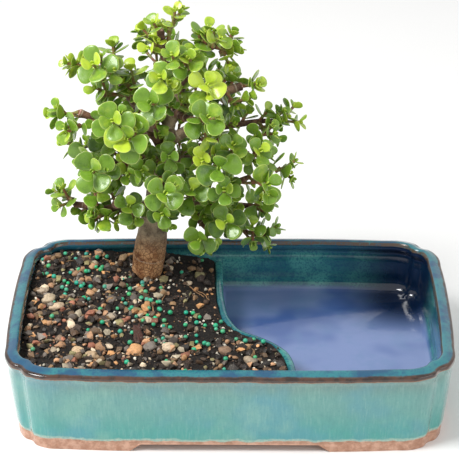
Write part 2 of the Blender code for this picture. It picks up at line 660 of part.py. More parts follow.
def make_wood(tubes, material):
    """Trunk and branches, joined as they grew."""
    solids = [make_object(name, points, faces) for name, (_, _, points, faces) in tubes.items()]
    wood = solids[0]
    wood.name = "trunk"
    combine(wood, solids[1:])
    keep_largest(wood)
    finish(wood, material, 50)
    return wood


def near_wood(place, tubes, wood, margin):
    """Whether a place is inside a branch or nearer than margin to its bark."""
    for (path, radii, _, _), (bark, _, _) in zip(tubes.values(), wood):
        if bark.find_nearest(place)[3] < margin:
            return True
        for i in range(len(path) - 1):
            span = path[i + 1] - path[i]
            t = (place - path[i]).dot(span) / span.length_squared
            radius = radii[i] + (radii[i + 1] - radii[i]) * t
            if 0 <= t <= 1 and (place - path[i] - span * t).length < radius:
                return True
    return False


def leaf(place, along, normal, length, width, cup, grow=0.0):
    """Points and faces of a fleshy leaf, thickened by grow for clearance."""
    across = normal.cross(along).normalized()
    thick = max(LEAF_THICK_LEAST, LEAF_THICK * length) / 2 + grow

    def at(way, side, lift):
        return place + along * way + across * side + normal * lift

    def bend(way, share):
        return length * (cup * share * share * 0.5 + cup * way * way * 0.6)

    rim = []
    for way, share in LEAF_RIM:
        reach = way * length + (grow if way > 0.5 else 0.0)
        rim.append(at(reach, share * width / 2 + (grow if share else 0.0), bend(way, share)))
    for way, share in reversed(LEAF_RIM[1:-1]):
        reach = way * length + (grow if way > 0.5 else 0.0)
        rim.append(at(reach, -share * width / 2 - grow, bend(way, share)))
    rise = bend(LEAF_MIDDLE, 0.0)
    points = rim + [at(LEAF_MIDDLE * length, 0, rise + thick), at(LEAF_MIDDLE * length, 0, rise - thick)]
    size = len(rim)
    faces = []
    for i in range(size):
        j = (i + 1) % size
        faces.append((i, j, size))
        faces.append((j, i, size + 1))
    return points, faces


def tree_of(points, faces):
    """A search tree with its centre and reach."""
    centre = sum(points, Vector()) / len(points)
    reach = max((point - centre).length for point in points)
    return BVHTree.FromPolygons(points, faces), centre, reach


def crosses(candidate, placed):
    """Whether a shape touches any of the placed ones."""
    shape, centre, reach = candidate
    for other, middle, far in placed:
        if (centre - middle).length < reach + far and shape.overlap(other):
            return True
    return False


def stem_path(start, tip, bend):
    """A stem that leaves towards its tip and curves, in eight pieces."""
    middle = (start + tip) / 2 + bend
    path = []
    for k in range(9):
        t = k / 8
        path.append(start * (1 - t)**2 + middle * 2 * t * (1 - t) + tip * t**2)
    return path


def way_along(path, distance):
    """The place and direction at a distance back from the path's end."""
    left = distance
    for i in range(len(path) - 1, 0, -1):
        span = path[i] - path[i - 1]
        if span.length >= left:
            return path[i] - span.normalized() * left, span.normalized()
        left -= span.length
    return None


def plan_stems(tubes, wood):
    """Every stem as (node name, path, pairs, leaf length, turn), side shoots with their node's."""
    draws = random.Random(5)
    planned = []
    for name, start, tip, pairs, length, turn in SHOOTS:
        tip = seen(*tip)
        if name:
            node = name
            start = seen(*start)
        else:
            start = trunk_shoot[round(start * (len(trunk_shoot) - 1))]
        bend = Vector((draws.uniform(-1, 1), draws.uniform(-1, 1), -2.0)) * (tip - start).length * 0.05
        if name:
            start = clear_of_wood(start, tip, bend, tubes, wood)
        path = stem_path(start, tip, bend)
        if name:
            trunk_shoot = path
        planned.append((node, path, pairs, length, turn))
    return planned


def clear_of_wood(start, tip, bend, tubes, wood):
    """Moves a stem's start out of its branch until its whole end is just clear of the bark."""
    path = stem_path(start, tip, bend)
    ahead = (path[1] - path[0]).normalized()
    while near_wood(start, tubes, wood, GAP) or any(
            near_wood(start + side * STEM_BASE, tubes, wood, GAP) for side in ring_sides(ahead)):
        start = start + ahead * 0.05
    return start


def ring_sides(ahead):
    """Six directions square to a direction."""
    side = ahead.orthogonal().normalized()
    up = ahead.cross(side)
    return [side * math.cos(k * math.pi / 3) + up * math.sin(k * math.pi / 3) for k in range(6)]


def stem_radii(path):
    """The stem's radius at each point, from its base to its tip."""
    return [STEM_BASE + (STEM_TIP - STEM_BASE) * k / (len(path) - 1) for k in range(len(path))]


def grow_leaves(planned, wood):
    """Places opposite pairs along every stem, each leaf turned until it is clear of the rest."""
    stems = []
    for node, path, _, _, _ in planned:
        short = path[::2]
        stems.append((node, tree_of(*tube(short, [r + GAP for r in stem_radii(short)], 4))))
    placed = []
    draws = random.Random(23)
    for index, (node, path, pairs, length, turn) in enumerate(planned):
        others = wood + [stem for name, stem in stems if name != node]
        others += [tree for row in placed for tree in [row[3]] if row[0] != node]
        back = 0.8
        for pair in range(pairs):
            if way_along(path, back + 2 * LEAF_ROOT) is None:
                break
            found = way_along(path, back)
            for half in (0, 1):
                rest = [row[3] for row in placed if row[0] == node and row[1] != (index, pair)]
                shape = place_leaf(found, pair, half, turn, length, draws, others, rest)
                if shape:
                    grown = (back, (pair + 2 * half + 3) % 4, shape)
                    placed.append((node, (index, pair), grown, tree_of(*leaf(*shape))))
            back += length * PAIR_STEP[pair]
    return placed


def place_leaf(found, pair, half, turn, length, draws, others, rest):
    """The first clear way to set a leaf at its place on the stem."""
    place, ahead = found
    side = Vector((0, 0, 1)).cross(ahead).normalized()
    spread = draws.uniform(-8, 8)
    size = length * PAIR_SIZE[pair] * draws.uniform(0.94, 1.06)
    cup = draws.uniform(-0.02, 0.12)
    stout = draws.uniform(*LEAF_STOUT)
    for spin, lift, scale in TRIES:
        angle = math.radians(turn + 90 * pair + 180 * half + spread + spin)
        out = Matrix.Rotation(angle, 3, ahead) @ side
        rise = math.radians(PAIR_LIFT[pair] + lift)
        along = out * math.cos(rise) + ahead * math.sin(rise)
        normal = ahead * math.cos(rise) - out * math.sin(rise)
        shape = (place, along, normal, size * scale, size * scale * stout, cup)
        fat = tree_of(*leaf(*shape, grow=GAP + 0.05))
        if not crosses(fat, others) and not crosses(fat, rest):
            return shape
    return None


def shoot_mesh(path, turn, leaves):
    """A square stem whose faces at each pair grow out into the leaves: points and faces."""
    points = []
    faces = []
    rings = []

    def ring(back):
        place, ahead = way_along(path, back)
        side = Vector((0, 0, 1)).cross(ahead).normalized()
        share = back / sum((b - a).length for a, b in zip(path, path[1:]))
        radius = STEM_TIP + (STEM_BASE - STEM_TIP) * share
        for k in range(4):
            spin = Matrix.Rotation(math.radians(turn + 45 + 90 * k), 3, ahead)
            points.append(place + spin @ side * radius)
        rings.append(len(points) - 4)

    def band(low, high, open_sides=()):
        for k in range(4):
            if k not in open_sides:
                faces.append((low + k, low + (k + 1) % 4, high + (k + 1) % 4, high + k))

    whole = sum((b - a).length for a, b in zip(path, path[1:]))
    backs = sorted({row[0] for row in leaves}, reverse=True)
    ring(whole - 0.001)
    for back in backs:
        if rings[-1] == 0 and whole - back > 7.0:
            ring((whole + back) / 2)
            band(rings[-2], rings[-1])
        ring(back + LEAF_ROOT)
        band(rings[-2], rings[-1])
        ring(back - LEAF_ROOT)
        sides = {}
        for row in leaves:
            if row[0] == back:
                sides[row[1]] = row[2]
        band(rings[-2], rings[-1], sides)
        for k, shape in sides.items():
            blade, _ = leaf(*shape)
            first = len(points)
            points.extend(blade[1:])
            low = [rings[-2] + k, rings[-2] + (k + 1) % 4]
            high = [rings[-1] + k, rings[-1] + (k + 1) % 4]
            across = shape[2].cross(shape[1])
            if (points[low[0]] - points[low[1]]).dot(across) < 0:
                low.reverse()
                high.reverse()
            top = len(points) - 2
            rim = [high[0], *range(first, top), high[1]]
            faces += [(a, b, top) for a, b in zip(rim, rim[1:] + rim[:1])]
            rim = [low[0], *range(first, top), low[1]]
            faces += [(b, a, top + 1) for a, b in zip(rim, rim[1:] + rim[:1])]
            faces.append((low[0], first, high[0]))
            faces.append((high[1], top - 1, low[1]))
    faces.append(tuple(range(4)))
    faces.append(tuple(rings[-1] + k for k in range(4)))
    return points, faces


def make_sprays(tubes, material):
    """One node for each leafy shoot, with its side shoots fused on."""
    wood = [tree_of(points, faces) for _, _, points, faces in tubes.values()]
    planned = plan_stems(tubes, wood)
    placed = grow_leaves(planned, wood)
    sprays = []
    for node in dict.fromkeys(row[0] for row in planned):
        shoots = []
        for index, (name, path, _, _, turn) in enumerate(planned):
            if name == node:
                leaves = [row[2] for row in placed if row[1][0] == index]
                shoots.append(make_object(f"spray_{node}", *shoot_mesh(path, turn, leaves)))
        spray = shoots[0]
        if shoots[1:]:
            combine(spray, shoots[1:])
            keep_largest(spray)
        finish(spray, material, 60)
        sprays.append(spray)
    return sprays


def centre_all(things):
    """Moves every piece so that the whole stands over the origin."""
    corners = [vert.co for thing in things for vert in thing.data.vertices]
    middle_x = (min(c.x for c in corners) + max(c.x for c in corners)) / 2
    middle_y = (min(c.y for c in corners) + max(c.y for c in corners)) / 2
    for thing in things:
        thing.data.transform(Matrix.Translation((-middle_x, -middle_y, 0.0)))


def main():
    for thing in list(bpy.data.objects):
        bpy.data.objects.remove(thing)
    glaze = make_material("glaze", (0.10, 0.38, 0.40), 0.15)
    plastic = make_material("screen_plastic", (0.03, 0.04, 0.03), 0.5)
    earth = make_material("potting_mix", (0.10, 0.07, 0.05), 0.9)
    bark = make_material("bark", (0.24, 0.17, 0.12), 0.8)
    green = make_material("leaf", (0.22, 0.42, 0.08), 0.35)
    tubes = wood_tubes()
    trunk_path, trunk_radii, _, _ = tubes["trunk"]
    things = [make_pot(glaze), make_screen(plastic)]
    things.append(make_soil((trunk_path[:6], trunk_radii[:6]), earth))
    things.append(make_wood(tubes, bark))
    things += make_sprays(tubes, green)
    centre_all(things)


main()
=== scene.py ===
"""Looks of the jade bonsai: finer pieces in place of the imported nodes, and the view of them.

Lengths are in millimetres in the pot's own frame, which has the pot's centre as its origin, X to the
right, Y to the back and Z up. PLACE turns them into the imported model's metres. The tables and the
functions that grow the tree are those of the part's source, so every piece stays where its node is.
"""

import json
import math
import random
from functools import lru_cache

import bmesh
import bpy
import numpy as np
from mathutils import Matrix, Vector, noise
from mathutils.bvhtree import BVHTree

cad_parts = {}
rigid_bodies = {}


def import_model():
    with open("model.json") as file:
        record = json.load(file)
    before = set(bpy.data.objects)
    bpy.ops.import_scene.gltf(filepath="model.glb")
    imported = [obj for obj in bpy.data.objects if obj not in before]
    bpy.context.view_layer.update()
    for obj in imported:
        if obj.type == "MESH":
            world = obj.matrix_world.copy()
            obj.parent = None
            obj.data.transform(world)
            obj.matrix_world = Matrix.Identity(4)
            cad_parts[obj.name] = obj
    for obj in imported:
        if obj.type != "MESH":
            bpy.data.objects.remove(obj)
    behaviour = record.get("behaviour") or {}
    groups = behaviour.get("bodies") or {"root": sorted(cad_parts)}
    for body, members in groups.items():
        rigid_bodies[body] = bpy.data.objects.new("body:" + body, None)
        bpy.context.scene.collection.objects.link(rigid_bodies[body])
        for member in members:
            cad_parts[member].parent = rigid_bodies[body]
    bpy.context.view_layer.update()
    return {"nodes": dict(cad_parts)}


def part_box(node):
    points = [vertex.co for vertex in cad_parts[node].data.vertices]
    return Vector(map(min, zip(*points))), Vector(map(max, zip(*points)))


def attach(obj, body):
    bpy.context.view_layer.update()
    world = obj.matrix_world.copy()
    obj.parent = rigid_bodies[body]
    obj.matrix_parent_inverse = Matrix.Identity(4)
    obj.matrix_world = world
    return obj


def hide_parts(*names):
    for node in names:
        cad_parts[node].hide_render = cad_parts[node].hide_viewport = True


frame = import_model()
POT_LOW, POT_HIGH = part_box("pot")
MM = 0.001
PLACE = Matrix.Translation(((POT_LOW.x + POT_HIGH.x) / 2, (POT_LOW.y + POT_HIGH.y) / 2, 0.0))
PLACE = PLACE @ Matrix.Scale(MM, 4)

GAP = 0.3               # clearance between touching pieces

# Pot
POT_LENGTH = 254.0      # over the lip, at the ends of the sides
POT_WIDTH = 161.5
LONG_BOW = 1.6          # how far the middle of each side bows out
SHORT_BOW = 1.2
# Canted, softly indented corner: distances back from the corner along X and along Y
CORNER = ((0.0, 36.0), (1.4, 20.5), (5.4, 13.4), (10.3, 10.3), (13.4, 5.4), (20.5, 1.4),
          (36.0, 0.0))
CORNER_SHRINK = 0.0293  # how fast the corner gets smaller with the inset
UNDERSIDE = 4.8
FLOOR = 21.6
# Section of the wall from the underside over the lip to the floor: (inset, height)
WALL = ((9.5, UNDERSIDE), (6.4, 5.3), (5.5, 7.2), (4.3, 15.5), (3.0, 27.5), (1.1, 46.6),
        (0.1, 49.3), (0.3, 51.6), (2.0, 52.4), (7.2, 53.4), (7.9, 52.3),
        (7.9, 48.3), (6.6, 47.3), (9.3, 25.9), (11.0, 23.0), (14.0, FLOOR))
UNDER_LIP = 12          # the row of WALL that is just under the lip, inside
HOLLOW_INSET = 21.0     # recess of the underside, inside the ring that the feet stand on
HOLLOW_TOP = 13.0

FOOT_INSETS = (6.4, 20.0)
FOOT_TOP = 6.2
FOOT_LONG = (58.0, 50.0)    # where a foot ends along X: at the ground and at the underside
FOOT_SHORT = (36.0, 30.0)

# Dividing wall in plan, from the back to the front
DIVIDER = ((-7.9, 75.4), (-7.6, 64.0), (-6.1, 25.6), (-2.8, 5.5), (4.4, -9.0), (16.0, -17.0),
           (25.5, -25.4), (30.6, -32.5), (33.4, -41.0), (35.1, -53.2), (36.0, -75.4))
DIVIDER_HALF = 2.4
DIVIDER_TOP = 39.8

DRAIN = (-66.0, 4.0)
DRAIN_RADIUS = 7.0

# Soil
SOIL_LEVEL = 43.9
ROOM_TOP = 62.0
SMALL_STONES = 8
SMALL_FIELD = ((-113.0, 26.0), (-66.0, 66.0))   # where they may lie, along X and along Y
SMALL_LENGTH = (4.6, 7.4)
FLATNESS = 0.68         # a stone's height as a share of its width
TRUNK_FOOT = (146.5, 279, 51)
TRUNK_CLEAR = 15.0      # no small stone is nearer to the middle of the trunk
WALL_CLEAR = 8.5        # nor to the middle of the dividing wall
CORNER_CLEAR = (103.0, 55.0)
# Larger stones: (u, v, length, width, turn in degrees)
STONES = ((49, 300, 10.0, 7.5, 60), (57, 308, 9.5, 7.0, 20), (42, 292, 7.5, 5.5, 10),
          (78, 352, 7.0, 6.0, 30), (92, 357, 8.5, 7.0, 160), (135, 352, 9.0, 8.0, 40),
          (150, 348, 8.5, 6.5, 15), (168, 349, 8.5, 7.0, 150), (123, 259, 9.0, 5.0, 70),
          (92, 248, 8.5, 6.0, 20), (200, 277, 6.5, 5.5, 0), (60, 340, 6.5, 5.0, 100),
          (112, 300, 7.0, 5.5, 130), (225, 352, 7.5, 6.0, 20), (250, 362, 8.0, 6.0, 140))

# Front view that the tree's places are read in
VIEW_POINT = Vector((7.9, -1064.8, 667.3))
VIEW_AXIS = Vector((-0.0071, 0.8829, -0.4695))
VIEW_RIGHT = Vector((1.0, 0.008, 0.0))
VIEW_UP = Vector((-0.0038, 0.4695, 0.8829))
VIEW_CENTRE = (229.5, 230.0)
VIEW_FOCAL = 2103.0

# Wood: for each branch its number of sides and its points (u, v, y, radius)
WOOD = {
    "trunk": (10, ((148, 303, 51, 5.6), (147, 295, 51, 8.4), (146.5, 284, 51, 9.4),
                   (147, 274, 51, 8.8), (148.5, 260, 50.5, 9.7), (150, 249, 50, 9.6),
                   (152, 237, 50, 9.1), (153.5, 224, 49.5, 8.5), (155.5, 211, 49, 7.3),
                   (156.5, 197, 49, 6.5), (158, 182, 49, 5.8), (160, 165, 48, 5.0),
                   (164.5, 142, 48, 4.4), (170, 120, 48, 3.9), (177, 100, 49, 3.4),
                   (180, 86, 50, 3.0), (177, 70, 51, 2.8), (169, 56, 51, 2.6),
                   (163, 44, 50, 2.4), (160, 29, 50, 2.2))),
    "upper_right": (6, ((178, 92, 50, 2.6), (187, 80, 48, 2.5), (190, 68, 48, 2.4),
                        (199, 55, 52, 2.3), (208, 48, 56, 2.5), (218, 43, 58, 2.3))),
    "right_upper": (6, ((176, 102, 49, 2.8), (193, 101, 45, 2.6), (214, 94, 46, 2.4),
                        (229, 90, 50, 2.6), (242, 86, 53, 2.6))),
    "right_1": (7, ((162, 147, 48, 3.5), (175, 138, 46, 3.4), (186, 131, 46, 3.2),
                    (197, 126, 47, 2.8), (215, 127, 50, 2.2), (240, 124, 54, 1.9),
                    (262, 121, 57, 1.6), (275, 121, 59, 1.3))),
    "right_2": (7, ((159, 169, 48, 3.5), (182, 161, 42, 3.2), (205, 158, 38, 2.8),
                    (225, 156, 36, 2.5), (240, 155, 35, 2.9), (249, 156, 34, 3.0))),
    "right_2_tip": (5, ((244, 157, 35, 1.8), (256, 161, 34, 1.5), (269, 165, 34, 1.3))),
    "right_3": (7, ((156, 197, 49, 3.6), (171, 201, 45, 3.2), (186, 205, 42, 2.8),
                    (205, 206, 41, 2.4), (229, 205, 43, 2.1), (250, 206, 46, 1.7))),
    "right_3_up": (5, ((205, 206, 41, 1.9), (221, 193, 34, 2.0), (237, 182, 28, 1.8),
                       (249, 177, 25, 1.5))),
    "right_low": (5, ((188, 206, 41, 2.2), (199, 220, 38, 1.9), (210, 232, 34, 1.5))),
    "right_low_2": (5, ((213, 206, 41, 2.1), (231, 222, 42, 1.8), (249, 233, 43, 1.4))),
    "left_a": (6, ((156, 168, 49, 3.2), (140, 158, 44, 2.4), (119, 163, 38, 2.0),
                   (105, 171, 32, 1.6))),
    "left_e": (5, ((147, 160, 47, 2.2), (126, 151, 53, 1.9), (106, 147, 60, 1.6),
                   (92, 146, 65, 1.3))),
    "left_b": (7, ((154, 206, 49, 3.6), (143, 206, 46, 2.9), (130, 210, 44, 2.5),
                   (117, 208, 43, 2.5), (100, 209, 43, 2.1), (87, 206, 45, 2.0),
                   (74, 204, 47, 1.9))),
    "left_b_stub": (7, ((119, 209, 44, 2.6), (117, 206, 37, 3.0), (116, 204, 32, 2.8))),
    "left_c": (7, ((163, 142, 48, 3.3), (152, 128, 47, 2.9), (141, 112, 49, 2.7),
                   (130, 97, 52, 2.4), (121, 83, 56, 2.1), (109, 73, 60, 1.7),
                   (99, 67, 63, 1.4))),
    "left_d": (6, ((144, 117, 49, 2.3), (128, 123, 40, 2.1), (114, 124, 34, 1.9),
                   (96, 119, 31, 2.1), (79, 112, 30, 2.2))),
    "front_1": (6, ((159, 172, 46, 2.8), (160, 177, 32, 2.2), (163, 189, 17, 1.7))),
    "front_2": (6, ((160, 146, 46, 2.6), (151, 135, 33, 2.1), (140, 135, 22, 1.6))),
    "front_3": (6, ((174, 113, 46, 2.6), (187, 118, 32, 2.0), (198, 121, 20, 1.6))),
    "back_1": (6, ((157, 192, 51, 3.4), (150, 181, 62, 2.7), (140, 170, 74, 2.0),
                   (131, 163, 83, 1.4))),
    "back_2": (6, ((160, 172, 50, 3.3), (172, 160, 63, 2.6), (190, 150, 74, 2.0),
                   (204, 146, 83, 1.4))),
    "back_3": (6, ((165, 144, 50, 3.2), (158, 128, 62, 2.4), (146, 111, 73, 1.9),
                   (137, 99, 80, 1.3))),
    "back_4": (6, ((171, 122, 50, 3.0), (183, 108, 61, 2.2), (199, 97, 71, 1.8),
                   (211, 90, 78, 1.3))),
    "back_5": (6, ((178, 98, 51, 2.6), (172, 80, 60, 2.0), (165, 63, 67, 1.6),
                   (160, 51, 72, 1.2))),
    "back_6": (6, ((158, 187, 51, 3.0), (169, 188, 63, 2.4), (186, 190, 75, 1.9),
                   (201, 192, 83, 1.3))),
}

# Shoots: (name, start (u, v, y), tip (u, v, y), pairs, leaf length, first pair's turn in degrees).
# A side shoot has no name of its own, and its start is a share of the way along the named shoot
# before it, which it is one piece with.
SHOOTS = (
    ("top", (165, 47, 50), (175, 11, 48), 3, 8.5, 0),
    ("top_left", (168, 56, 54), (143, 29, 62), 3, 9.5, 40),
    ("", 0.3, (149, 48, 44), 1, 10.5, 10),
    ("upper_right", (197, 57, 51), (208, 29, 46), 4, 10.5, 30),
    ("", 0.3, (220, 38, 38), 2, 9.5, 60),
    ("upper_far", (213, 46, 56), (231, 50, 58), 3, 8.5, 80),
    ("", 0.3, (229, 64, 48), 2, 9.0, 30),
    ("upper_front", (188, 78, 48), (188, 59, 26), 3, 10.5, 45),
    ("", 0.3, (172, 55, 22), 2, 10.5, 20),
    ("upper_middle", (176, 84, 49), (160, 77, 22), 3, 10.5, 10),
    ("upper_dark", (173, 106, 47), (151, 103, 14), 3, 13.0, 60),
    ("left_upper_1", (138, 105, 50), (131, 69, 50), 3, 10.5, 20),
    ("left_upper_2", (117, 80, 56), (113, 46, 60), 4, 10.5, 50),
    ("left_far", (99, 67, 63), (75, 63, 68), 3, 10.5, 70),
    ("left_big", (111, 75, 58), (93, 64, 34), 3, 12.5, 30),
    ("", 0.3, (114, 70, 38), 2, 9.5, 0),
    ("left_under", (126, 95, 53), (96, 88, 44), 3, 10.5, 60),
    ("left_star", (122, 123, 36), (112, 121, 4), 3, 12.5, 20),
    ("left_round", (140, 135, 22), (127, 139, 4), 3, 15.0, 80),
    ("left_tip", (79, 112, 30), (52, 114, 34), 3, 9.5, 40),
    ("left_tip_low", (96, 120, 30), (67, 127, 18), 3, 10.0, 10),
    ("left_mid_1", (92, 146, 65), (66, 143, 64), 3, 11.0, 30),
    ("left_mid_2", (106, 148, 58), (84, 157, 36), 3, 12.5, 75),
    ("left_mid_3", (116, 149, 55), (105, 138, 32), 3, 11.5, 15),
    ("left_low_1", (105, 171, 32), (92, 171, 6), 3, 14.0, 50),
    ("left_low_2", (75, 204, 47), (63, 188, 44), 4, 10.0, 0),
    ("left_low_3", (93, 207, 44), (98, 189, 26), 3, 9.5, 30),
    ("left_low_4", (132, 210, 42), (129, 206, 16), 3, 10.5, 65),
    ("left_drop", (109, 209, 42), (107, 217, 32), 1, 14.0, 90),
    ("", 0.3, (94, 218, 34), 2, 9.5, 20),
    ("left_hang", (126, 162, 39), (128, 175, 22), 2, 10.5, 55),
    ("centre_small", (147, 161, 43), (142, 171, 18), 3, 8.5, 35),
    ("centre_dark", (165, 149, 45), (169, 157, 18), 2, 10.5, 0),
    ("centre_front", (163, 189, 17), (165, 193, -4), 4, 12.5, 45),
    ("centre_low", (166, 200, 46), (162, 214, 18), 3, 10.0, 20),
    ("right_front", (192, 205, 41), (192, 190, 14), 3, 12.0, 70),
    ("right_yellow", (200, 158, 37), (202, 160, 12), 2, 9.5, 15),
    ("right_star", (198, 121, 20), (208, 117, 2), 3, 13.0, 30),
    ("", 0.2, (206, 138, 10), 2, 12.5, 80),
    ("right_bright", (205, 97, 45), (207, 84, 18), 3, 12.5, 55),
    ("right_upper_1", (226, 91, 48), (236, 106, 42), 3, 9.5, 25),
    ("right_droop", (242, 86, 53), (252, 84, 52), 2, 13.5, 75),
    ("right_tip", (275, 121, 59), (288, 117, 60), 2, 8.5, 45),
    ("right_tip_low", (258, 122, 56), (277, 138, 50), 3, 10.0, 0),
    ("", 0.4, (256, 137, 36), 2, 9.5, 30),
    ("right_2_tip", (269, 165, 34), (288, 172, 34), 3, 11.0, 60),
    ("right_2_up", (249, 156, 34), (260, 151, 16), 3, 10.0, 10),
    ("right_2_mid", (231, 156, 35), (233, 145, 14), 3, 10.0, 40),
    ("right_big", (217, 157, 36), (219, 168, 6), 2, 14.5, 85),
    ("right_gloss", (249, 177, 25), (267, 184, 6), 2, 13.5, 20),
    ("right_3_tip", (250, 206, 46), (260, 200, 34), 3, 10.5, 50),
    ("right_3_mid", (225, 190, 32), (224, 190, 6), 3, 10.0, 5),
    ("right_low_1", (229, 220, 42), (226, 222, 14), 4, 11.5, 35),
    ("right_low_2", (209, 231, 34), (200, 240, 16), 4, 11.5, 60),
    ("right_low_3", (249, 233, 43), (266, 235, 38), 4, 9.5, 15),
    ("", 0.3, (252, 226, 26), 2, 9.5, 70),
    ("back_1", (131, 163, 83), (106, 158, 96), 3, 13.5, 10),
    ("", 0.3, (116, 184, 90), 3, 12.5, 60), ("", 0.2, (138, 150, 104), 2, 13.0, 30),
    ("back_2", (204, 146, 83), (232, 142, 92), 3, 13.5, 50),
    ("", 0.3, (222, 166, 98), 3, 12.5, 10), ("", 0.2, (198, 130, 104), 2, 13.0, 80),
    ("back_3", (137, 99, 80), (110, 92, 88), 3, 13.0, 80),
    ("", 0.3, (122, 120, 96), 3, 12.5, 20), ("", 0.3, (138, 72, 92), 2, 12.0, 50),
    ("back_4", (211, 90, 78), (236, 80, 82), 3, 13.0, 30),
    ("", 0.3, (230, 112, 90), 3, 12.5, 70), ("", 0.3, (204, 66, 86), 2, 12.0, 0),
    ("back_5", (160, 51, 72), (146, 36, 80), 2, 12.0, 60),
    ("", 0.3, (176, 42, 80), 2, 12.0, 15), ("", 0.3, (160, 70, 94), 2, 12.0, 40),
    ("back_6", (201, 192, 83), (228, 186, 88), 3, 13.0, 20),
    ("", 0.3, (212, 212, 88), 3, 12.5, 65), ("", 0.2, (196, 180, 104), 2, 13.0, 35),
    ("back_7", (170, 122, 54), (172, 100, 102), 3, 13.5, 25),
    ("back_8", (160, 160, 49), (164, 168, 104), 3, 13.5, 70),
    ("back_9", (155, 214, 50), (160, 204, 96), 3, 13.0, 0),
)

# Leaves and their stems
# Leaf rim from root to tip: (way along, half width as a share of the widest)
LEAF_RIM = ((0.0, 0.0), (0.36, 0.76), (0.76, 0.96), (1.0, 0.0))
LEAF_MIDDLE = 0.58
LEAF_THICK = 0.115      # share of the length
LEAF_THICK_LEAST = 0.9
LEAF_STOUT = (0.76, 0.9)    # width as a share of the length, least and most
LEAF_ROOT = 0.45        # half the height of a leaf's root on its stem
STEM_BASE = 1.0
STEM_TIP = 0.65
# From the tip down: size of a pair, its angle up from square to the stem, and the way to the next
PAIR_SIZE = (0.74, 1.0, 1.04, 0.98)
PAIR_LIFT = (46, 22, 10, 4)
PAIR_STEP = (0.34, 0.5, 0.6, 0.6)
# Turns, lifts and sizes tried for a leaf until it is clear of what is there
TRIES = tuple((spin, lift, size) for size in (1.0, 0.86, 0.72) for lift in (0, 18, -18, 36)
              for spin in (0, 14, -14, 28, -28, 45, -45))

# Curves and meshes


def smooth_path(points, steps, closed=False):
    """Points on a smooth curve through the given ones, with steps pieces between two of them."""
    count = len(points)
    points = [Vector(point) for point in points]
    spans = count if closed else count - 1
    tangents = []
    for i in range(count):
        before = points[i - 1] if closed or i > 0 else None
        after = points[(i + 1) % count] if closed or i < count - 1 else None
        if before is None:
            tangents.append((after - points[i]).normalized())
        elif after is None:
            tangents.append((points[i] - before).normalized())
        else:
            near = points[i] - before
            far = after - points[i]
            blend = near / near.length * far.length + far / far.length * near.length
            tangents.append(blend / (near.length + far.length))
    path = []
    for i in range(spans):
        start = points[i]
        end = points[(i + 1) % count]
        reach = (end - start).length
        for k in range(steps):
            t = k / steps
            path.append(start * (2 * t**3 - 3 * t**2 + 1) + end * (3 * t**2 - 2 * t**3)
                        + tangents[i] * reach * (t**3 - 2 * t**2 + t)
                        + tangents[(i + 1) % count] * reach * (t**3 - t**2))
    if not closed:
        path.append(points[-1])
    return path


def loft(rings):
    """Points and faces of a closed solid through rings of equal length, with flat ends."""
    size = len(rings[0])
    points = [point for ring in rings for point in ring]
    faces = [tuple(reversed(range(size)))]
    for row in range(len(rings) - 1):
        low = row * size
        for i in range(size):
            j = (i + 1) % size
            faces.append((low + i, low + j, low + size + j, low + size + i))
    faces.append(tuple(range(len(points) - size, len(points))))
    return points, faces


def tube(path, radii, sides, turn=0.0):
    """Points and faces of a round bar along a path."""
    rings = []
    side = None
    for i, place in enumerate(path):
        ahead = path[min(i + 1, len(path) - 1)] - path[max(i - 1, 0)]
        ahead.normalize()
        if side is None:
            side = ahead.orthogonal().normalized()
        side = (side - ahead * side.dot(ahead)).normalized()
        up = ahead.cross(side)
        ring = []
        for k in range(sides):
            angle = turn + 2 * math.pi * k / sides
            ring.append(place + (side * math.cos(angle) + up * math.sin(angle)) * radii[i])
        rings.append(ring)
    return loft(rings)

# Objects


def plain_object(name, points, faces):
    """A mesh object whose faces are already turned out."""
    mesh = bpy.data.meshes.new(name)
    mesh.from_pydata(points, [], faces)
    thing = bpy.data.objects.new(name, mesh)
    bpy.context.scene.collection.objects.link(thing)
    return thing


def make_object(name, points, faces):
    """A mesh object whose faces are turned out here."""
    thing = plain_object(name, points, faces)
    shape = bmesh.new()
    shape.from_mesh(thing.data)
    bmesh.ops.recalc_face_normals(shape, faces=shape.faces)
    shape.to_mesh(thing.data)
    shape.free()
    return thing


def raised(faces, low):
    """Faces whose points are numbered from low on."""
    return [tuple(low + k for k in face) for face in faces]


def prism(name, outline, low, high):
    """An upright prism on a plan outline."""
    rings = [[(x, y, z) for x, y in outline] for z in (low, high)]
    return make_object(name, *loft(rings))


def points_of(thing):
    """The object's points as rows of x, y, z."""
    places = np.zeros(len(thing.data.vertices) * 3)
    thing.data.vertices.foreach_get("co", places)
    return places.reshape(-1, 3)


def store(thing, name, values, kind="FLOAT", part="value"):
    """Keeps a number, or a colour, for each point, for the material."""
    field = thing.data.attributes.new(name, kind, "POINT")
    field.data.foreach_set(part, np.asarray(values, np.float32).ravel())


def dress(thing, sharp):
    """Smooth shading with edges sharp above an angle."""
    thing.data.shade_smooth()
    thing.data.set_sharp_from_angle(angle=math.radians(sharp))


def show(thing, slot, *nodes):
    """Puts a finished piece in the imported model's frame and lets it stand for its nodes."""
    thing.data.transform(PLACE)
    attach(thing, "root")
    if nodes:
        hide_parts(*nodes)


def bake(thing):
    """Applies the object's modifiers."""
    bpy.context.view_layer.update()
    graph = bpy.context.evaluated_depsgraph_get()
    result = bpy.data.meshes.new_from_object(thing.evaluated_get(graph))
    old = thing.data
    thing.modifiers.clear()
    thing.data = result
    bpy.data.meshes.remove(old)
    result.name = thing.name


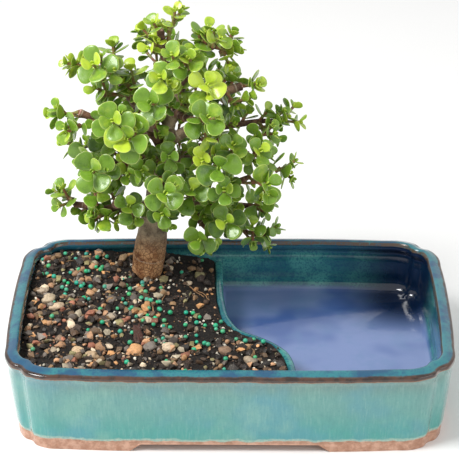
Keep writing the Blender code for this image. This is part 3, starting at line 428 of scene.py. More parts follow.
def combine(target, others, operation="UNION"):
    """Applies one Boolean of a collection of objects to the target and removes the collection."""
    group = bpy.data.collections.new("operands")
    bpy.context.scene.collection.children.link(group)
    for other in others:
        bpy.context.scene.collection.objects.unlink(other)
        group.objects.link(other)
    modifier = target.modifiers.new("combine", "BOOLEAN")
    modifier.operand_type = "COLLECTION"
    modifier.collection = group
    modifier.operation = operation
    modifier.solver = "EXACT"
    bake(target)
    for other in list(group.objects):
        bpy.data.objects.remove(other)
    bpy.data.collections.remove(group)


def keep_largest(thing):
    """Drops loose scraps and sealed hollows that a union leaves."""
    shape = bmesh.new()
    shape.from_mesh(thing.data)
    unseen = set(shape.verts)
    islands = []
    while unseen:
        queue = [unseen.pop()]
        island = set(queue)
        while queue:
            vert = queue.pop()
            for edge in vert.link_edges:
                other = edge.other_vert(vert)
                if other in unseen:
                    unseen.discard(other)
                    island.add(other)
                    queue.append(other)
        islands.append(island)
    islands.sort(key=len)
    scraps = [vert for island in islands[:-1] for vert in island]
    bmesh.ops.delete(shape, geom=scraps, context="VERTS")
    shape.to_mesh(thing.data)
    shape.free()

# Materials


def srgb(red, green, blue):
    """A colour as seen on screen, from 0 to 255, as the linear one that a shader takes."""
    linear = []
    for value in (red / 255, green / 255, blue / 255):
        linear.append(value / 12.92 if value <= 0.04045 else ((value + 0.055) / 1.055)**2.4)
    return (*linear, 1.0)


class Finish:
    """One material and the nodes that drive its Principled shader."""

    def __init__(self, name, **fixed):
        self.material = bpy.data.materials.new(name)
        self.material.use_nodes = True
        self.tree = self.material.node_tree
        self.shader = self.tree.nodes["Principled BSDF"]
        self.place = self.tree.nodes.new("ShaderNodeTexCoord").outputs["Object"]
        for socket, value in fixed.items():
            self.shader.inputs[socket.replace("_", " ")].default_value = value

    def feed(self, socket, value):
        """Sets an input to a number or colour, or links an output to it."""
        if isinstance(value, bpy.types.NodeSocket):
            self.tree.links.new(value, socket)
        else:
            socket.default_value = value

    def set(self, socket, value):
        self.feed(self.shader.inputs[socket], value)

    def given(self, name, output="Fac"):
        """A number stored on the mesh, or a colour with the output Color."""
        node = self.tree.nodes.new("ShaderNodeAttribute")
        node.attribute_name = name
        return node.outputs[output]

    def stretched(self, x, y, z):
        """Places in the object scaled along each axis."""
        node = self.tree.nodes.new("ShaderNodeMapping")
        node.inputs["Scale"].default_value = (x, y, z)
        self.feed(node.inputs["Vector"], self.place)
        return node.outputs["Vector"]

    def height(self):
        """The height above the ground, in millimetres."""
        node = self.tree.nodes.new("ShaderNodeSeparateXYZ")
        self.feed(node.inputs[0], self.stretched(1 / MM, 1 / MM, 1 / MM))
        return node.outputs["Z"]

    def noise(self, size, detail=3.0, rough=0.55, where=None):
        """Cloudy noise whose blotches are about size mm across."""
        node = self.tree.nodes.new("ShaderNodeTexNoise")
        self.feed(node.inputs["Vector"], where or self.place)
        node.inputs["Scale"].default_value = 1.0 / (size * MM) if where is None else 1.0 / size
        node.inputs["Detail"].default_value = detail
        node.inputs["Roughness"].default_value = rough
        return node.outputs["Fac"]

    def cells(self, size, feature="F1"):
        """Distances in a pattern of cells about size mm across."""
        node = self.tree.nodes.new("ShaderNodeTexVoronoi")
        node.feature = feature
        self.feed(node.inputs["Vector"], self.place)
        node.inputs["Scale"].default_value = 1.0 / (size * MM)
        return node.outputs["Distance"]

    def near(self, x, y, close, far):
        """1 above the spot (x, y) of the ground, in mm, and 0 beyond far."""
        node = self.tree.nodes.new("ShaderNodeVectorMath")
        node.operation = "DISTANCE"
        self.feed(node.inputs[0], self.stretched(1 / MM, 1 / MM, 0.0))
        node.inputs[1].default_value = (x, y, 0.0)
        return self.ramp(node.outputs["Value"], far, close)

    def calc(self, operation, first, second=0.0):
        node = self.tree.nodes.new("ShaderNodeMath")
        node.operation = operation
        self.feed(node.inputs[0], first)
        self.feed(node.inputs[1], second)
        return node.outputs[0]

    def ramp(self, value, low, high, start=0.0, end=1.0):
        """Turns a range of values into start to end, smoothly."""
        node = self.tree.nodes.new("ShaderNodeMapRange")
        node.interpolation_type = "SMOOTHSTEP"
        for socket, number in zip(("Value", "From Min", "From Max", "To Min", "To Max"),
                                  (value, low, high, start, end)):
            self.feed(node.inputs[socket], number)
        return node.outputs["Result"]

    def mix(self, share, first, second):
        """A blend of two colours, each an output or a screen colour."""
        node = self.tree.nodes.new("ShaderNodeMix")
        node.data_type = "RGBA"
        for socket, value in (("Factor", share), ("A", first), ("B", second)):
            self.feed(node.inputs[socket], srgb(*value) if isinstance(value, tuple) else value)
        return node.outputs["Result"]

    def over(self, colour, value, low, high, other, share=1.0):
        """The colour, turning into share of another one where the value goes from low to high."""
        return self.mix(self.ramp(value, low, high, 0.0, share), colour, other)

    def rough(self, size, detail, low, high):
        """Uneven roughness from low to high, in blotches about size mm across."""
        return self.ramp(self.noise(size, detail), 0.3, 0.7, low, high)

    def bump(self, height, depth):
        """Bumps as deep as depth mm where the height goes from 0 to 1."""
        node = self.tree.nodes.new("ShaderNodeBump")
        node.inputs["Distance"].default_value = depth * MM
        self.feed(node.inputs["Height"], height)
        self.set("Normal", node.outputs["Normal"])


# Shape of the pot and the bed, as in the part


def outline(inset, steps):
    """The pot's plan outline, moved in by the inset."""
    half_x = POT_LENGTH / 2 - inset
    half_y = POT_WIDTH / 2 - inset
    scale = 1 - CORNER_SHRINK * inset
    corner = [(half_x - a * scale, half_y - b * scale) for a, b in CORNER]
    quarter = [(half_x + SHORT_BOW, 0.0)] + corner + [(0.0, half_y + LONG_BOW)]
    points = quarter[:-1]
    points += [(-x, y) for x, y in reversed(quarter[1:])]
    points += [(-x, -y) for x, y in quarter[:-1]]
    points += [(x, -y) for x, y in reversed(quarter[1:])]
    path = smooth_path([(x, y, 0.0) for x, y in points], steps, closed=True)
    return [(point.x, point.y) for point in path]


@lru_cache(maxsize=None)
def divider_line(steps=2):
    """The middle line of the dividing wall in plan."""
    return smooth_path([(x, y, 0.0) for x, y in DIVIDER], steps)


def beside(line, shift):
    """The line moved sideways, to its left as it runs."""
    moved = []
    for i, place in enumerate(line):
        ahead = line[min(i + 1, len(line) - 1)] - line[max(i - 1, 0)]
        moved.append(place + Vector((-ahead.y, ahead.x, 0.0)).normalized() * shift)
    return moved


def clamp(value):
    """The value held between 0 and 1."""
    return max(0.0, min(1.0, value))


def divider_x(y):
    """Where the dividing wall's middle line is at a depth."""
    line = divider_line()
    return min(line, key=lambda place: abs(place.y - y)).x


def soil_height(x, y):
    """The bed: higher at the back left, lower along the dividing wall, gently uneven."""
    height = SOIL_LEVEL + 4.2 * clamp((-x - 55) / 50) * clamp((y + 10) / 70)
    height += 1.6 * math.exp(-((x + 50)**2 + (y - 48)**2) / 900)
    height -= 4.0 * clamp((x - divider_x(y) + 30) / 28)
    height += 0.55 * math.sin(0.31 * x + 1.3) * math.cos(0.27 * y)
    height += 0.5 * math.sin(0.13 * x - 0.19 * y)
    return height


def planting_side(shift):
    """Plan outline of all that lies beyond the dividing wall's planting face."""
    edge = beside(divider_line(), -DIVIDER_HALF - shift)
    reach = POT_LENGTH
    return [(reach, POT_WIDTH), (edge[0].x, POT_WIDTH)] + [(p.x, p.y) for p in edge] + [
        (edge[-1].x, -POT_WIDTH), (reach, -POT_WIDTH)]


def seen(u, v, y):
    """The point at depth y that shows at pixel (u, v) of the front view."""
    ray = VIEW_AXIS + VIEW_RIGHT * ((u - VIEW_CENTRE[0]) / VIEW_FOCAL)
    ray = ray + VIEW_UP * ((VIEW_CENTRE[1] - v) / VIEW_FOCAL)
    return VIEW_POINT + ray * ((y - VIEW_POINT.y) / ray.y)


def seen_on_soil(u, v):
    """The point of the soil that shows at pixel (u, v)."""
    ray = seen(u, v, 0.0) - VIEW_POINT
    place = VIEW_POINT + ray * ((SOIL_LEVEL - VIEW_POINT.z) / ray.z)
    for _ in range(4):
        height = soil_height(place.x, place.y)
        place = VIEW_POINT + ray * ((height - VIEW_POINT.z) / ray.z)
    return place


def stone_places():
    """Larger stones as listed, then small ones strewn clear of them and of the trunk."""
    rows = [(seen_on_soil(u, v), length, width, turn) for u, v, length, width, turn in STONES]
    draws = random.Random(11)
    trunk = seen(*TRUNK_FOOT)
    while len(rows) < len(STONES) + SMALL_STONES:
        x = draws.uniform(*SMALL_FIELD[0])
        y = draws.uniform(*SMALL_FIELD[1])
        length = draws.uniform(*SMALL_LENGTH)
        if x > divider_x(y) - WALL_CLEAR:
            continue
        if abs(x) > CORNER_CLEAR[0] and abs(y) > CORNER_CLEAR[1]:
            continue
        place = Vector((x, y, soil_height(x, y)))
        if (place - trunk).xy.length < TRUNK_CLEAR:
            continue
        if all((place - other).xy.length > 0.62 * (length + size) for other, size, _, _ in rows):
            width = length * draws.uniform(0.65, 0.9)
            rows.append((place, length, width, draws.uniform(0, 180)))
    return rows


# Growth of the tree, as in the part


def wood_tubes():
    """Each branch as (path, radii, points, faces)."""
    tubes = {}
    for name, (sides, rows) in WOOD.items():
        path = [seen(u, v, y) for u, v, y, _ in rows]
        radii = [radius for _, _, _, radius in rows]
        tubes[name] = (path, radii, *tube(path, radii, sides))
    return tubes


def near_wood(place, tubes, wood, margin):
    """Whether a place is inside a branch or nearer than margin to its bark."""
    for (path, radii, _, _), (bark, _, _) in zip(tubes.values(), wood):
        if bark.find_nearest(place)[3] < margin:
            return True
        for i in range(len(path) - 1):
            span = path[i + 1] - path[i]
            t = (place - path[i]).dot(span) / span.length_squared
            radius = radii[i] + (radii[i + 1] - radii[i]) * t
            if 0 <= t <= 1 and (place - path[i] - span * t).length < radius:
                return True
    return False


def leaf(place, along, normal, length, width, cup, grow=0.0):
    """Points and faces of a fleshy leaf, thickened by grow for clearance."""
    across = normal.cross(along).normalized()
    thick = max(LEAF_THICK_LEAST, LEAF_THICK * length) / 2 + grow

    def at(way, side, lift):
        return place + along * way + across * side + normal * lift

    def bend(way, share):
        return length * (cup * share * share * 0.5 + cup * way * way * 0.6)

    rim = []
    for way, share in LEAF_RIM:
        reach = way * length + (grow if way > 0.5 else 0.0)
        rim.append(at(reach, share * width / 2 + (grow if share else 0.0), bend(way, share)))
    for way, share in reversed(LEAF_RIM[1:-1]):
        reach = way * length + (grow if way > 0.5 else 0.0)
        rim.append(at(reach, -share * width / 2 - grow, bend(way, share)))
    rise = bend(LEAF_MIDDLE, 0.0)
    points = rim + [at(LEAF_MIDDLE * length, 0, rise + thick), at(LEAF_MIDDLE * length, 0, rise - thick)]
    size = len(rim)
    faces = []
    for i in range(size):
        j = (i + 1) % size
        faces.append((i, j, size))
        faces.append((j, i, size + 1))
    return points, faces


def tree_of(points, faces):
    """A search tree with its centre and reach."""
    centre = sum(points, Vector()) / len(points)
    reach = max((point - centre).length for point in points)
    return BVHTree.FromPolygons(points, faces), centre, reach


def crosses(candidate, placed):
    """Whether a shape touches any of the placed ones."""
    shape, centre, reach = candidate
    for other, middle, far in placed:
        if (centre - middle).length < reach + far and shape.overlap(other):
            return True
    return False


def stem_path(start, tip, bend):
    """A stem that leaves towards its tip and curves, in eight pieces."""
    middle = (start + tip) / 2 + bend
    path = []
    for k in range(9):
        t = k / 8
        path.append(start * (1 - t)**2 + middle * 2 * t * (1 - t) + tip * t**2)
    return path


def way_along(path, distance):
    """The place and direction at a distance back from the path's end."""
    left = distance
    for i in range(len(path) - 1, 0, -1):
        span = path[i] - path[i - 1]
        if span.length >= left:
            return path[i] - span.normalized() * left, span.normalized()
        left -= span.length
    return None


def plan_stems(tubes, wood):
    """Every stem as (node name, path, pairs, leaf length, turn), side shoots with their node's."""
    draws = random.Random(5)
    planned = []
    for name, start, tip, pairs, length, turn in SHOOTS:
        tip = seen(*tip)
        if name:
            node = name
            start = seen(*start)
        else:
            start = trunk_shoot[round(start * (len(trunk_shoot) - 1))]
        bend = Vector((draws.uniform(-1, 1), draws.uniform(-1, 1), -2.0)) * (tip - start).length * 0.05
        if name:
            start = clear_of_wood(start, tip, bend, tubes, wood)
        path = stem_path(start, tip, bend)
        if name:
            trunk_shoot = path
        planned.append((node, path, pairs, length, turn))
    return planned


def clear_of_wood(start, tip, bend, tubes, wood):
    """Moves a stem's start out of its branch until its whole end is just clear of the bark."""
    path = stem_path(start, tip, bend)
    ahead = (path[1] - path[0]).normalized()
    while near_wood(start, tubes, wood, GAP) or any(
            near_wood(start + side * STEM_BASE, tubes, wood, GAP) for side in ring_sides(ahead)):
        start = start + ahead * 0.05
    return start


def ring_sides(ahead):
    """Six directions square to a direction."""
    side = ahead.orthogonal().normalized()
    up = ahead.cross(side)
    return [side * math.cos(k * math.pi / 3) + up * math.sin(k * math.pi / 3) for k in range(6)]


def stem_radii(path):
    """The stem's radius at each point, from its base to its tip."""
    return [STEM_BASE + (STEM_TIP - STEM_BASE) * k / (len(path) - 1) for k in range(len(path))]


def grow_leaves(planned, wood):
    """Places opposite pairs along every stem, each leaf turned until it is clear of the rest."""
    stems = []
    for node, path, _, _, _ in planned:
        short = path[::2]
        stems.append((node, tree_of(*tube(short, [r + GAP for r in stem_radii(short)], 4))))
    placed = []
    draws = random.Random(23)
    for index, (node, path, pairs, length, turn) in enumerate(planned):
        others = wood + [stem for name, stem in stems if name != node]
        others += [tree for row in placed for tree in [row[3]] if row[0] != node]
        back = 0.8
        for pair in range(pairs):
            if way_along(path, back + 2 * LEAF_ROOT) is None:
                break
            found = way_along(path, back)
            for half in (0, 1):
                rest = [row[3] for row in placed if row[0] == node and row[1] != (index, pair)]
                shape = place_leaf(found, pair, half, turn, length, draws, others, rest)
                if shape:
                    grown = (back, (pair + 2 * half + 3) % 4, shape)
                    placed.append((node, (index, pair), grown, tree_of(*leaf(*shape))))
            back += length * PAIR_STEP[pair]
    return placed


def place_leaf(found, pair, half, turn, length, draws, others, rest):
    """The first clear way to set a leaf at its place on the stem."""
    place, ahead = found
    side = Vector((0, 0, 1)).cross(ahead).normalized()
    spread = draws.uniform(-8, 8)
    size = length * PAIR_SIZE[pair] * draws.uniform(0.94, 1.06)
    cup = draws.uniform(-0.02, 0.12)
    stout = draws.uniform(*LEAF_STOUT)
    for spin, lift, scale in TRIES:
        angle = math.radians(turn + 90 * pair + 180 * half + spread + spin)
        out = Matrix.Rotation(angle, 3, ahead) @ side
        rise = math.radians(PAIR_LIFT[pair] + lift)
        along = out * math.cos(rise) + ahead * math.sin(rise)
        normal = ahead * math.cos(rise) - out * math.sin(rise)
        shape = (place, along, normal, size * scale, size * scale * stout, cup)
        fat = tree_of(*leaf(*shape, grow=GAP + 0.05))
        if not crosses(fat, others) and not crosses(fat, rest):
            return shape
    return None

# Pot

RIM_STEPS = 8           # pieces between two points of the pot's outline
WALL_STEPS = 5          # pieces between two rows of its section
LONG_SPAN = 12.0        # a taller step between two rows of the section is cut in three
DIVIDER_STEPS = 10
DIVIDER_EDGE = 1.6      # height of the rounding on top of the dividing wall
DIVIDER_CROWN = 1.3
SUNK = 3.0              # how far the dividing wall reaches into the floor
DRAIN_SIDES = 40
LIP_TOP = 52.4          # height of the lip at its outer edge
COVE = 2.2              # rounding where the dividing wall meets the pool's floor
# Where the glaze inside the wall starts, as an inset at each height
INNER_FROM = ((4.8, 14.0), (13.0, 12.0), (21.0, 8.2), (30.0, 6.0), (47.0, 3.9), (53.5, 3.9))
INNER_BLEND = 1.2
# Heights that the glaze changes at, each as where a change starts and where it is whole
GLAZE_THIN = (9.6, 8.2)
GLAZE_END = (7.5, 7.1)
LIP_FROM = (LIP_TOP - 1.3, LIP_TOP - 0.6)
BAND_FROM = (LIP_TOP - 3.3, LIP_TOP - 2.6)
BAND_TO = (LIP_TOP + 0.3, LIP_TOP - 0.5)
BAND_ORANGE = (LIP_TOP - 2.2, LIP_TOP - 3.0)
WALL_FROM = (FLOOR + 0.4, FLOOR + 3.6)
# The same for insets: the brown band, and the worn edges of the lip
BAND_INSET = (2.6, 1.7)
OUTER_EDGE = (2.0, 1.2)
INNER_EDGE = (6.9, 7.5)
PAINTED_SHADE_CORNER = (106.0, 46.0)     # middle of the painted shade in the pool's back corner, where it is darkest
PAINTED_SHADE_REACH = (10.0, 50.0)
RUN_WIDTH = 1 / 0.9     # size of the glaze's runs, across and along
RUN_LENGTH = 1 / 0.07


def wall_loft(rows, name, steps):
    """A solid through the pot's outline at rows of (inset, height)."""
    rings = [[(x, y, z) for x, y in outline(inset, steps)] for inset, z in rows]
    return make_object(name, *loft(rings))


def wall_rows():
    """WALL as points, with its long spans cut in three so that the curve doesn't bulge there."""
    rows = [(*WALL[0], 0.0)]
    for (a, low), (b, high) in zip(WALL, WALL[1:]):
        if abs(high - low) > LONG_SPAN:
            rows += [(a + (b - a) * k / 3, low + (high - low) * k / 3, 0.0) for k in (1, 2)]
        rows.append((b, high, 0.0))
    return rows


def trapezoid(name, reach, across, ends):
    """A bar across the pot, wider at the ground than at the underside."""
    low, high = ends
    section = ((-low, -1.0), (low, -1.0), (high, UNDERSIDE), (-high, UNDERSIDE))
    rings = []
    for side in (-reach, reach):
        rings.append([(a, side, z) if across == "Y" else (side, a, z) for a, z in section])
    return make_object(name, *loft(rings))


def make_feet():
    """Four corner feet, each an L in plan."""
    feet = wall_loft(((FOOT_INSETS[0], 0.0), (FOOT_INSETS[0] - 0.3, 0.6),
                      (FOOT_INSETS[0] - 0.6, FOOT_TOP)), "feet", RIM_STEPS)
    wide = POT_LENGTH / 2 - FOOT_INSETS[1]
    deep = POT_WIDTH / 2 - FOOT_INSETS[1]
    inner = [(-wide, -deep), (wide, -deep), (wide, deep), (-wide, deep)]
    for cut in (prism("inside", inner, -1.0, FOOT_TOP + 1),
                trapezoid("cut_x", POT_WIDTH, "Y", FOOT_LONG),
                trapezoid("cut_y", POT_LENGTH, "X", FOOT_SHORT)):
        combine(feet, [cut], "DIFFERENCE")
    return feet


def make_divider():
    """The dividing wall with its rounded top, and a cove where it meets the pool's floor."""
    line = divider_line(DIVIDER_STEPS)
    half = DIVIDER_HALF
    edge = DIVIDER_TOP - DIVIDER_EDGE
    section = [(-half, FLOOR - SUNK), (-half, edge)]
    for turn in range(20, 180, 20):
        angle = math.radians(turn)
        section.append((-half * math.cos(angle), edge + DIVIDER_CROWN * math.sin(angle)))
    section += [(half, edge), (half, FLOOR + COVE)]
    for turn in (30, 60, 86):
        angle = math.radians(turn)
        section.append((half + COVE * (1 - math.cos(angle)), FLOOR + COVE * (1 - math.sin(angle))))
    section.append((half + COVE, FLOOR - SUNK))
    columns = [beside(line, shift) for shift, _ in section]
    rings = []
    for i in range(len(line)):
        rings.append([(column[i].x, column[i].y, z) for column, (_, z) in zip(columns, section)])
    return make_object("divider", *loft(rings))


def rim_distance(places):
    """How far each place is inside the pot's outermost outline, in plan."""
    rim = np.array(outline(0.0, RIM_STEPS))
    after = np.roll(rim, -1, axis=0)
    nearest = np.full(len(places), 1e9)
    for start, end in zip(rim, after):
        span = end - start
        share = np.clip(((places[:, :2] - start) @ span) / (span @ span), 0, 1)
        away = np.linalg.norm(places[:, :2] - start - share[:, None] * span, axis=1)
        nearest = np.minimum(nearest, away)
    return nearest


def make_pot():
    """Body, dividing wall and feet, with numbers for the material: inset, and 1 on inner faces."""
    rows = [(row.x, row.y) for row in smooth_path(wall_rows(), WALL_STEPS)]
    pot = wall_loft(rows, "glazed_pot", RIM_STEPS)
    combine(pot, [make_feet(), make_divider()])
    hollow = wall_loft(((HOLLOW_INSET, -1.0), (HOLLOW_INSET + 1.0, HOLLOW_TOP)), "hollow", 4)
    combine(pot, [hollow], "DIFFERENCE")
    turns = [2 * math.pi * k / DRAIN_SIDES for k in range(DRAIN_SIDES)]
    ring = [(DRAIN[0] + DRAIN_RADIUS * math.cos(turn), DRAIN[1] + DRAIN_RADIUS * math.sin(turn))
            for turn in turns]
    combine(pot, [prism("drain", ring, 0.0, FLOOR + 2)], "DIFFERENCE")
    places = points_of(pot)
    inset = rim_distance(places)
    heights, limits = zip(*INNER_FROM)
    inner = np.clip((inset - np.interp(places[:, 2], heights, limits)) / INNER_BLEND, 0, 1)
    store(pot, "inset", inset)
    store(pot, "inner", inner)
    pot.data.materials.append(glaze())
    dress(pot, 40)
    show(pot, "glazed_stoneware", "pot")


def glaze():
    """Mottled teal glaze over brown clay: outside, lip, inner wall, pool floor and bare feet."""
    f = Finish("glaze", IOR=1.5, Coat_Weight=0.6, Coat_Roughness=0.04)
    z = f.height()
    inset = f.given("inset")
    fine = f.noise(1.3, 4, 0.65)
    colour = f.mix(f.given("inner"), outer_glaze(f, z, fine), inner_glaze(f, z, fine))
    up = f.calc("ADD", z, f.ramp(f.noise(9, 3), 0.3, 0.7, -0.35, 0.35))
    colour = f.over(colour, up, *LIP_FROM, lip_glaze(f, inset, fine))
    band = f.ramp(up, *BAND_FROM)
    band = f.calc("MULTIPLY", band, f.ramp(up, *BAND_TO))
    band = f.calc("MULTIPLY", band, f.ramp(inset, *BAND_INSET))
    brown = f.over((40, 26, 20), f.noise(7, 4, 0.6), 0.38, 0.66, (78, 50, 36))
    brown = f.over(brown, up, *BAND_ORANGE, (150, 98, 62))
    colour = f.mix(band, colour, brown)
    line = f.calc("ADD", z, f.ramp(f.noise(13, 3), 0.35, 0.65, -0.8, 0.8))
    pale = f.calc("MULTIPLY", f.ramp(line, *GLAZE_THIN), f.ramp(fine, 0.3, 0.6, 0.3, 0.85))
    colour = f.mix(pale, colour, (164, 186, 168))
    bare = f.ramp(line, *GLAZE_END)
    clay = f.over((166, 118, 92), f.noise(5, 5, 0.7), 0.35, 0.65, (204, 160, 136))
    clay = f.over(clay, f.noise(1.2, 3, 0.7), 0.55, 0.7, (128, 92, 70), 0.35)
    colour = f.mix(bare, colour, clay)
    f.set("Base Color", colour)
    f.set("Roughness", f.ramp(bare, 0.0, 1.0, f.rough(5, 4, 0.06, 0.15), 0.8))
    grain = f.calc("MULTIPLY", f.noise(0.8, 4, 0.7), f.ramp(bare, 0.0, 1.0, 0.04, 0.5))
    waves = f.calc("MULTIPLY", f.noise(9, 2), f.ramp(f.given("inner"), 0.0, 1.0, 1.0, 0.35))
    f.bump(f.calc("ADD", waves, grain), 0.4)
    return f.material


def outer_glaze(f, z, fine):
    """Outside: soft teal with thin runs, greyer under the lip as painted shade, blue and pale patches."""
    across = 1 / (RUN_WIDTH * MM)
    runs = f.noise(1, 5, 0.65, f.stretched(across, across, 1 / (RUN_LENGTH * MM)))
    patches = f.noise(34, 3, 0.55)
    colour = f.over((58, 146, 138), z, 10.0, 34.0, (92, 148, 142))
    # Painted shade under the lip: the glaze turns greyer towards the top.
    colour = f.over(colour, z, 36.0, 48.0, (102, 130, 124), 0.75)
    colour = f.over(colour, patches, 0.44, 0.68, (72, 140, 158), 0.6)
    colour = f.over(colour, f.noise(26, 3), 0.5, 0.74, (120, 168, 152), 0.5)
    colour = f.over(colour, runs, 0.48, 0.72, (140, 182, 172), 0.24)
    colour = f.over(colour, runs, 0.48, 0.3, (50, 118, 122), 0.25)
    return f.over(colour, fine, 0.52, 0.7, (52, 112, 126), 0.28)


def inner_glaze(f, z, fine):
    """Inside: teal wall speckled dark blue, with painted shade under the inner lip and in the pool's back
    corner, and a smooth blue and lavender floor.
    """
    wall = f.over((38, 104, 112), f.noise(24, 3), 0.38, 0.62, (72, 146, 140))
    # Painted shade under the inner lip: the wall darkens towards its top.
    wall = f.over(wall, z, 43.0, 50.0, (20, 76, 98), 0.7)
    wall = f.over(wall, fine, 0.46, 0.62, (16, 66, 104), 0.6)
    floor = f.over((66, 94, 152), f.noise(46, 2, 0.5), 0.4, 0.62, (108, 128, 174))
    floor = f.over(floor, f.noise(12, 4), 0.45, 0.7, (84, 120, 160), 0.3)
    colour = f.over(floor, z, *WALL_FROM, wall)
    # Painted shade: the pool's back corner darkens to nearly black blue.
    return f.mix(f.near(*PAINTED_SHADE_CORNER, *PAINTED_SHADE_REACH), colour, (5, 24, 52))


def lip_glaze(f, inset, fine):
    """Top of the lip: blue-teal, worn to brown along its edges."""
    colour = f.over((24, 78, 108), f.noise(16, 4), 0.4, 0.6, (40, 116, 124))
    colour = f.over(colour, fine, 0.5, 0.66, (22, 58, 104), 0.5)
    edge = f.calc("ADD", f.ramp(inset, *OUTER_EDGE), f.ramp(inset, *INNER_EDGE))
    worn = f.calc("MULTIPLY", edge, f.ramp(fine, 0.3, 0.5))
    return f.mix(worn, colour, (84, 64, 48))

# Soil

BED_START = (-124.0, -78.0)     # corner of the bed's net, and its reach along X and along Y
BED_SIZE = (166, 156)
BED_STEP = 0.8
BED_CUT_TOP = 60.0      # top of the solid that cuts the bed along the dividing wall
GRAIN = 2.3             # size of the crumbs of the bed, and of the fine ones on them
FINE_GRAIN = 1.2
EDGE_ROOM = 7.0         # from the pot's outermost outline to the bed
CORNER_CANT = (17.0, 19.0)      # reach of the bed's corners, and their cut across
STREW_FIELD = ((-121, 34), (-74, 74))   # where loose things may fall, along X and along Y
TRUNK_ROOM = 9.5        # none of the grit is nearer to the middle of the trunk
COARSE = 1.8            # grit above this size is rare near the dividing wall
# Where the prills lie thickest, in mm, and how far from there they thin out
PRILL_BAND = ((-105.0, 42.0), (-15.0, -22.0))
BAND_REACH = 24.0
GRAINS = 2600           # loose crumbs, grit and gravel on the bed
PRILLS = 105
PRILL_SIZE = (2.2, 3.1)
PERLITE = 120
PERLITE_SIZE = (0.9, 2.1)
ROOTLETS = 16
ROOTLET_RADIUS = 0.28
ROOTLET_POINTS = 9
ROOTLET_STEP = 1.7
ROOTLET_FAR = (12, 46)  # how far from the trunk they start
# The chip of bark: its pixel (u, v), its size, its turn and tilt, and its middle over the bed
CHIP_PLACE = (138, 340)
CHIP_SIZE = (5.2, 2.4, 14.0)
CHIP_TURN = (0.15, -0.75)
CHIP_LIFT = 3.0
GRIT_COLOURS = ((46, 36, 30), (34, 27, 23), (62, 47, 37), (28, 24, 22), (88, 66, 48), (120, 96, 72),
                (74, 70, 66), (150, 118, 84), (54, 40, 32), (40, 32, 27))
PEBBLE_COLOURS = ((206, 186, 158), (216, 160, 106), (196, 150, 112), (132, 122, 112), (150, 140, 96),
                  (168, 108, 84), (190, 176, 150), (110, 100, 92), (176, 134, 98))
# Colours of the larger stones, in their order
STONE_COLOURS = ((208, 186, 156), (204, 178, 148), (190, 170, 146), (206, 176, 138), (196, 166, 130),
                 (214, 160, 110), (136, 126, 116), (206, 184, 156), (204, 170, 132), (186, 158, 122),
                 (146, 138, 96), (156, 128, 104), (120, 108, 98), (150, 120, 96), (168, 150, 126))


def in_bed(x, y, margin):
    """Whether a place in plan is on the bed, and clear of its edges by the margin."""
    if x > divider_x(y) - DIVIDER_HALF - margin:
        return False
    half_x = POT_LENGTH / 2 - EDGE_ROOM - margin
    half_y = POT_WIDTH / 2 - EDGE_ROOM - margin
    reach, cut = CORNER_CANT
    corner = max(0.0, abs(x) - half_x + reach) + max(0.0, abs(y) - half_y + reach)
    return abs(x) < half_x and abs(y) < half_y and corner < cut


def crumbs(x, y):
    """The bed's height with its crumbs."""
    near = noise.voronoi(Vector((x / GRAIN, y / GRAIN, 0.0)))[0][0]
    small = noise.voronoi(Vector((x / FINE_GRAIN, y / FINE_GRAIN, 7.0)))[0][0]
    rise = 0.75 * (0.55 - near) + 0.35 * (0.5 - small)
    return soil_height(x, y) + rise + 0.7 * noise.noise(Vector((x / 7, y / 7, 3.0)))


def make_bed():
    """The bed of the planting side, cut to the pot and to the dividing wall."""
    columns, rows = (int(size / BED_STEP) for size in BED_SIZE)
    points = []
    for j in range(rows + 1):
        for i in range(columns + 1):
            x = BED_START[0] + i * BED_STEP
            y = BED_START[1] + j * BED_STEP
            points.append((x, y, crumbs(x, y)))
    wide = columns + 1
    faces = [(j * wide + i, j * wide + i + 1, (j + 1) * wide + i + 1, (j + 1) * wide + i)
             for j in range(rows) for i in range(columns)]
    ring = list(range(wide)) + [wide * (j + 1) - 1 for j in range(1, rows + 1)]
    ring += [wide * rows + i for i in range(columns - 1, -1, -1)]
    ring += [wide * j for j in range(rows - 1, 0, -1)]
    low = len(points)
    points += [(points[k][0], points[k][1], FLOOR - 1.0) for k in ring]
    count = len(ring)
    for k in range(count):
        faces.append((ring[(k + 1) % count], ring[k], low + k, low + (k + 1) % count))
    faces.append(tuple(low + k for k in reversed(range(count))))
    bed = make_object("soil_bed", points, faces)
    room = [(inset + GAP, z) for inset, z in reversed(WALL[UNDER_LIP:])]
    room[0] = (room[0][0], FLOOR + GAP)
    lip_inset, lip_height = WALL[UNDER_LIP - 1]
    room[-1] = (room[-1][0], room[-1][1] - GAP)
    room += [(lip_inset + GAP, lip_height - GAP), (lip_inset + GAP, ROOM_TOP)]
    combine(bed, [wall_loft(room, "room", 4)], "INTERSECT")
    combine(bed, [prism("pool_side", planting_side(GAP), 0.0, BED_CUT_TOP)], "DIFFERENCE")
    keep_largest(bed)
    bed.data.materials.append(earth())
    dress(bed, 50)
    show(bed, "potting_mix", "soil")


def ball(level):
    """Points and faces of a round ball with a diameter of 1."""
    shape = bmesh.new()
    bmesh.ops.create_icosphere(shape, subdivisions=level, radius=0.5)
    points = np.array([vert.co[:] for vert in shape.verts])
    faces = [tuple(vert.index for vert in face.verts) for face in shape.faces]
    shape.free()
    return points, faces


def lumpy(points, draws, rough):
    """The points pushed in and out by smooth noise, for a worn stone."""
    start = Vector((draws.uniform(0, 99), draws.uniform(0, 99), draws.uniform(0, 99)))
    push = np.array([noise.noise(Vector(point) * 2.6 + start) for point in points])
    return points * (1 + rough * push)[:, None]


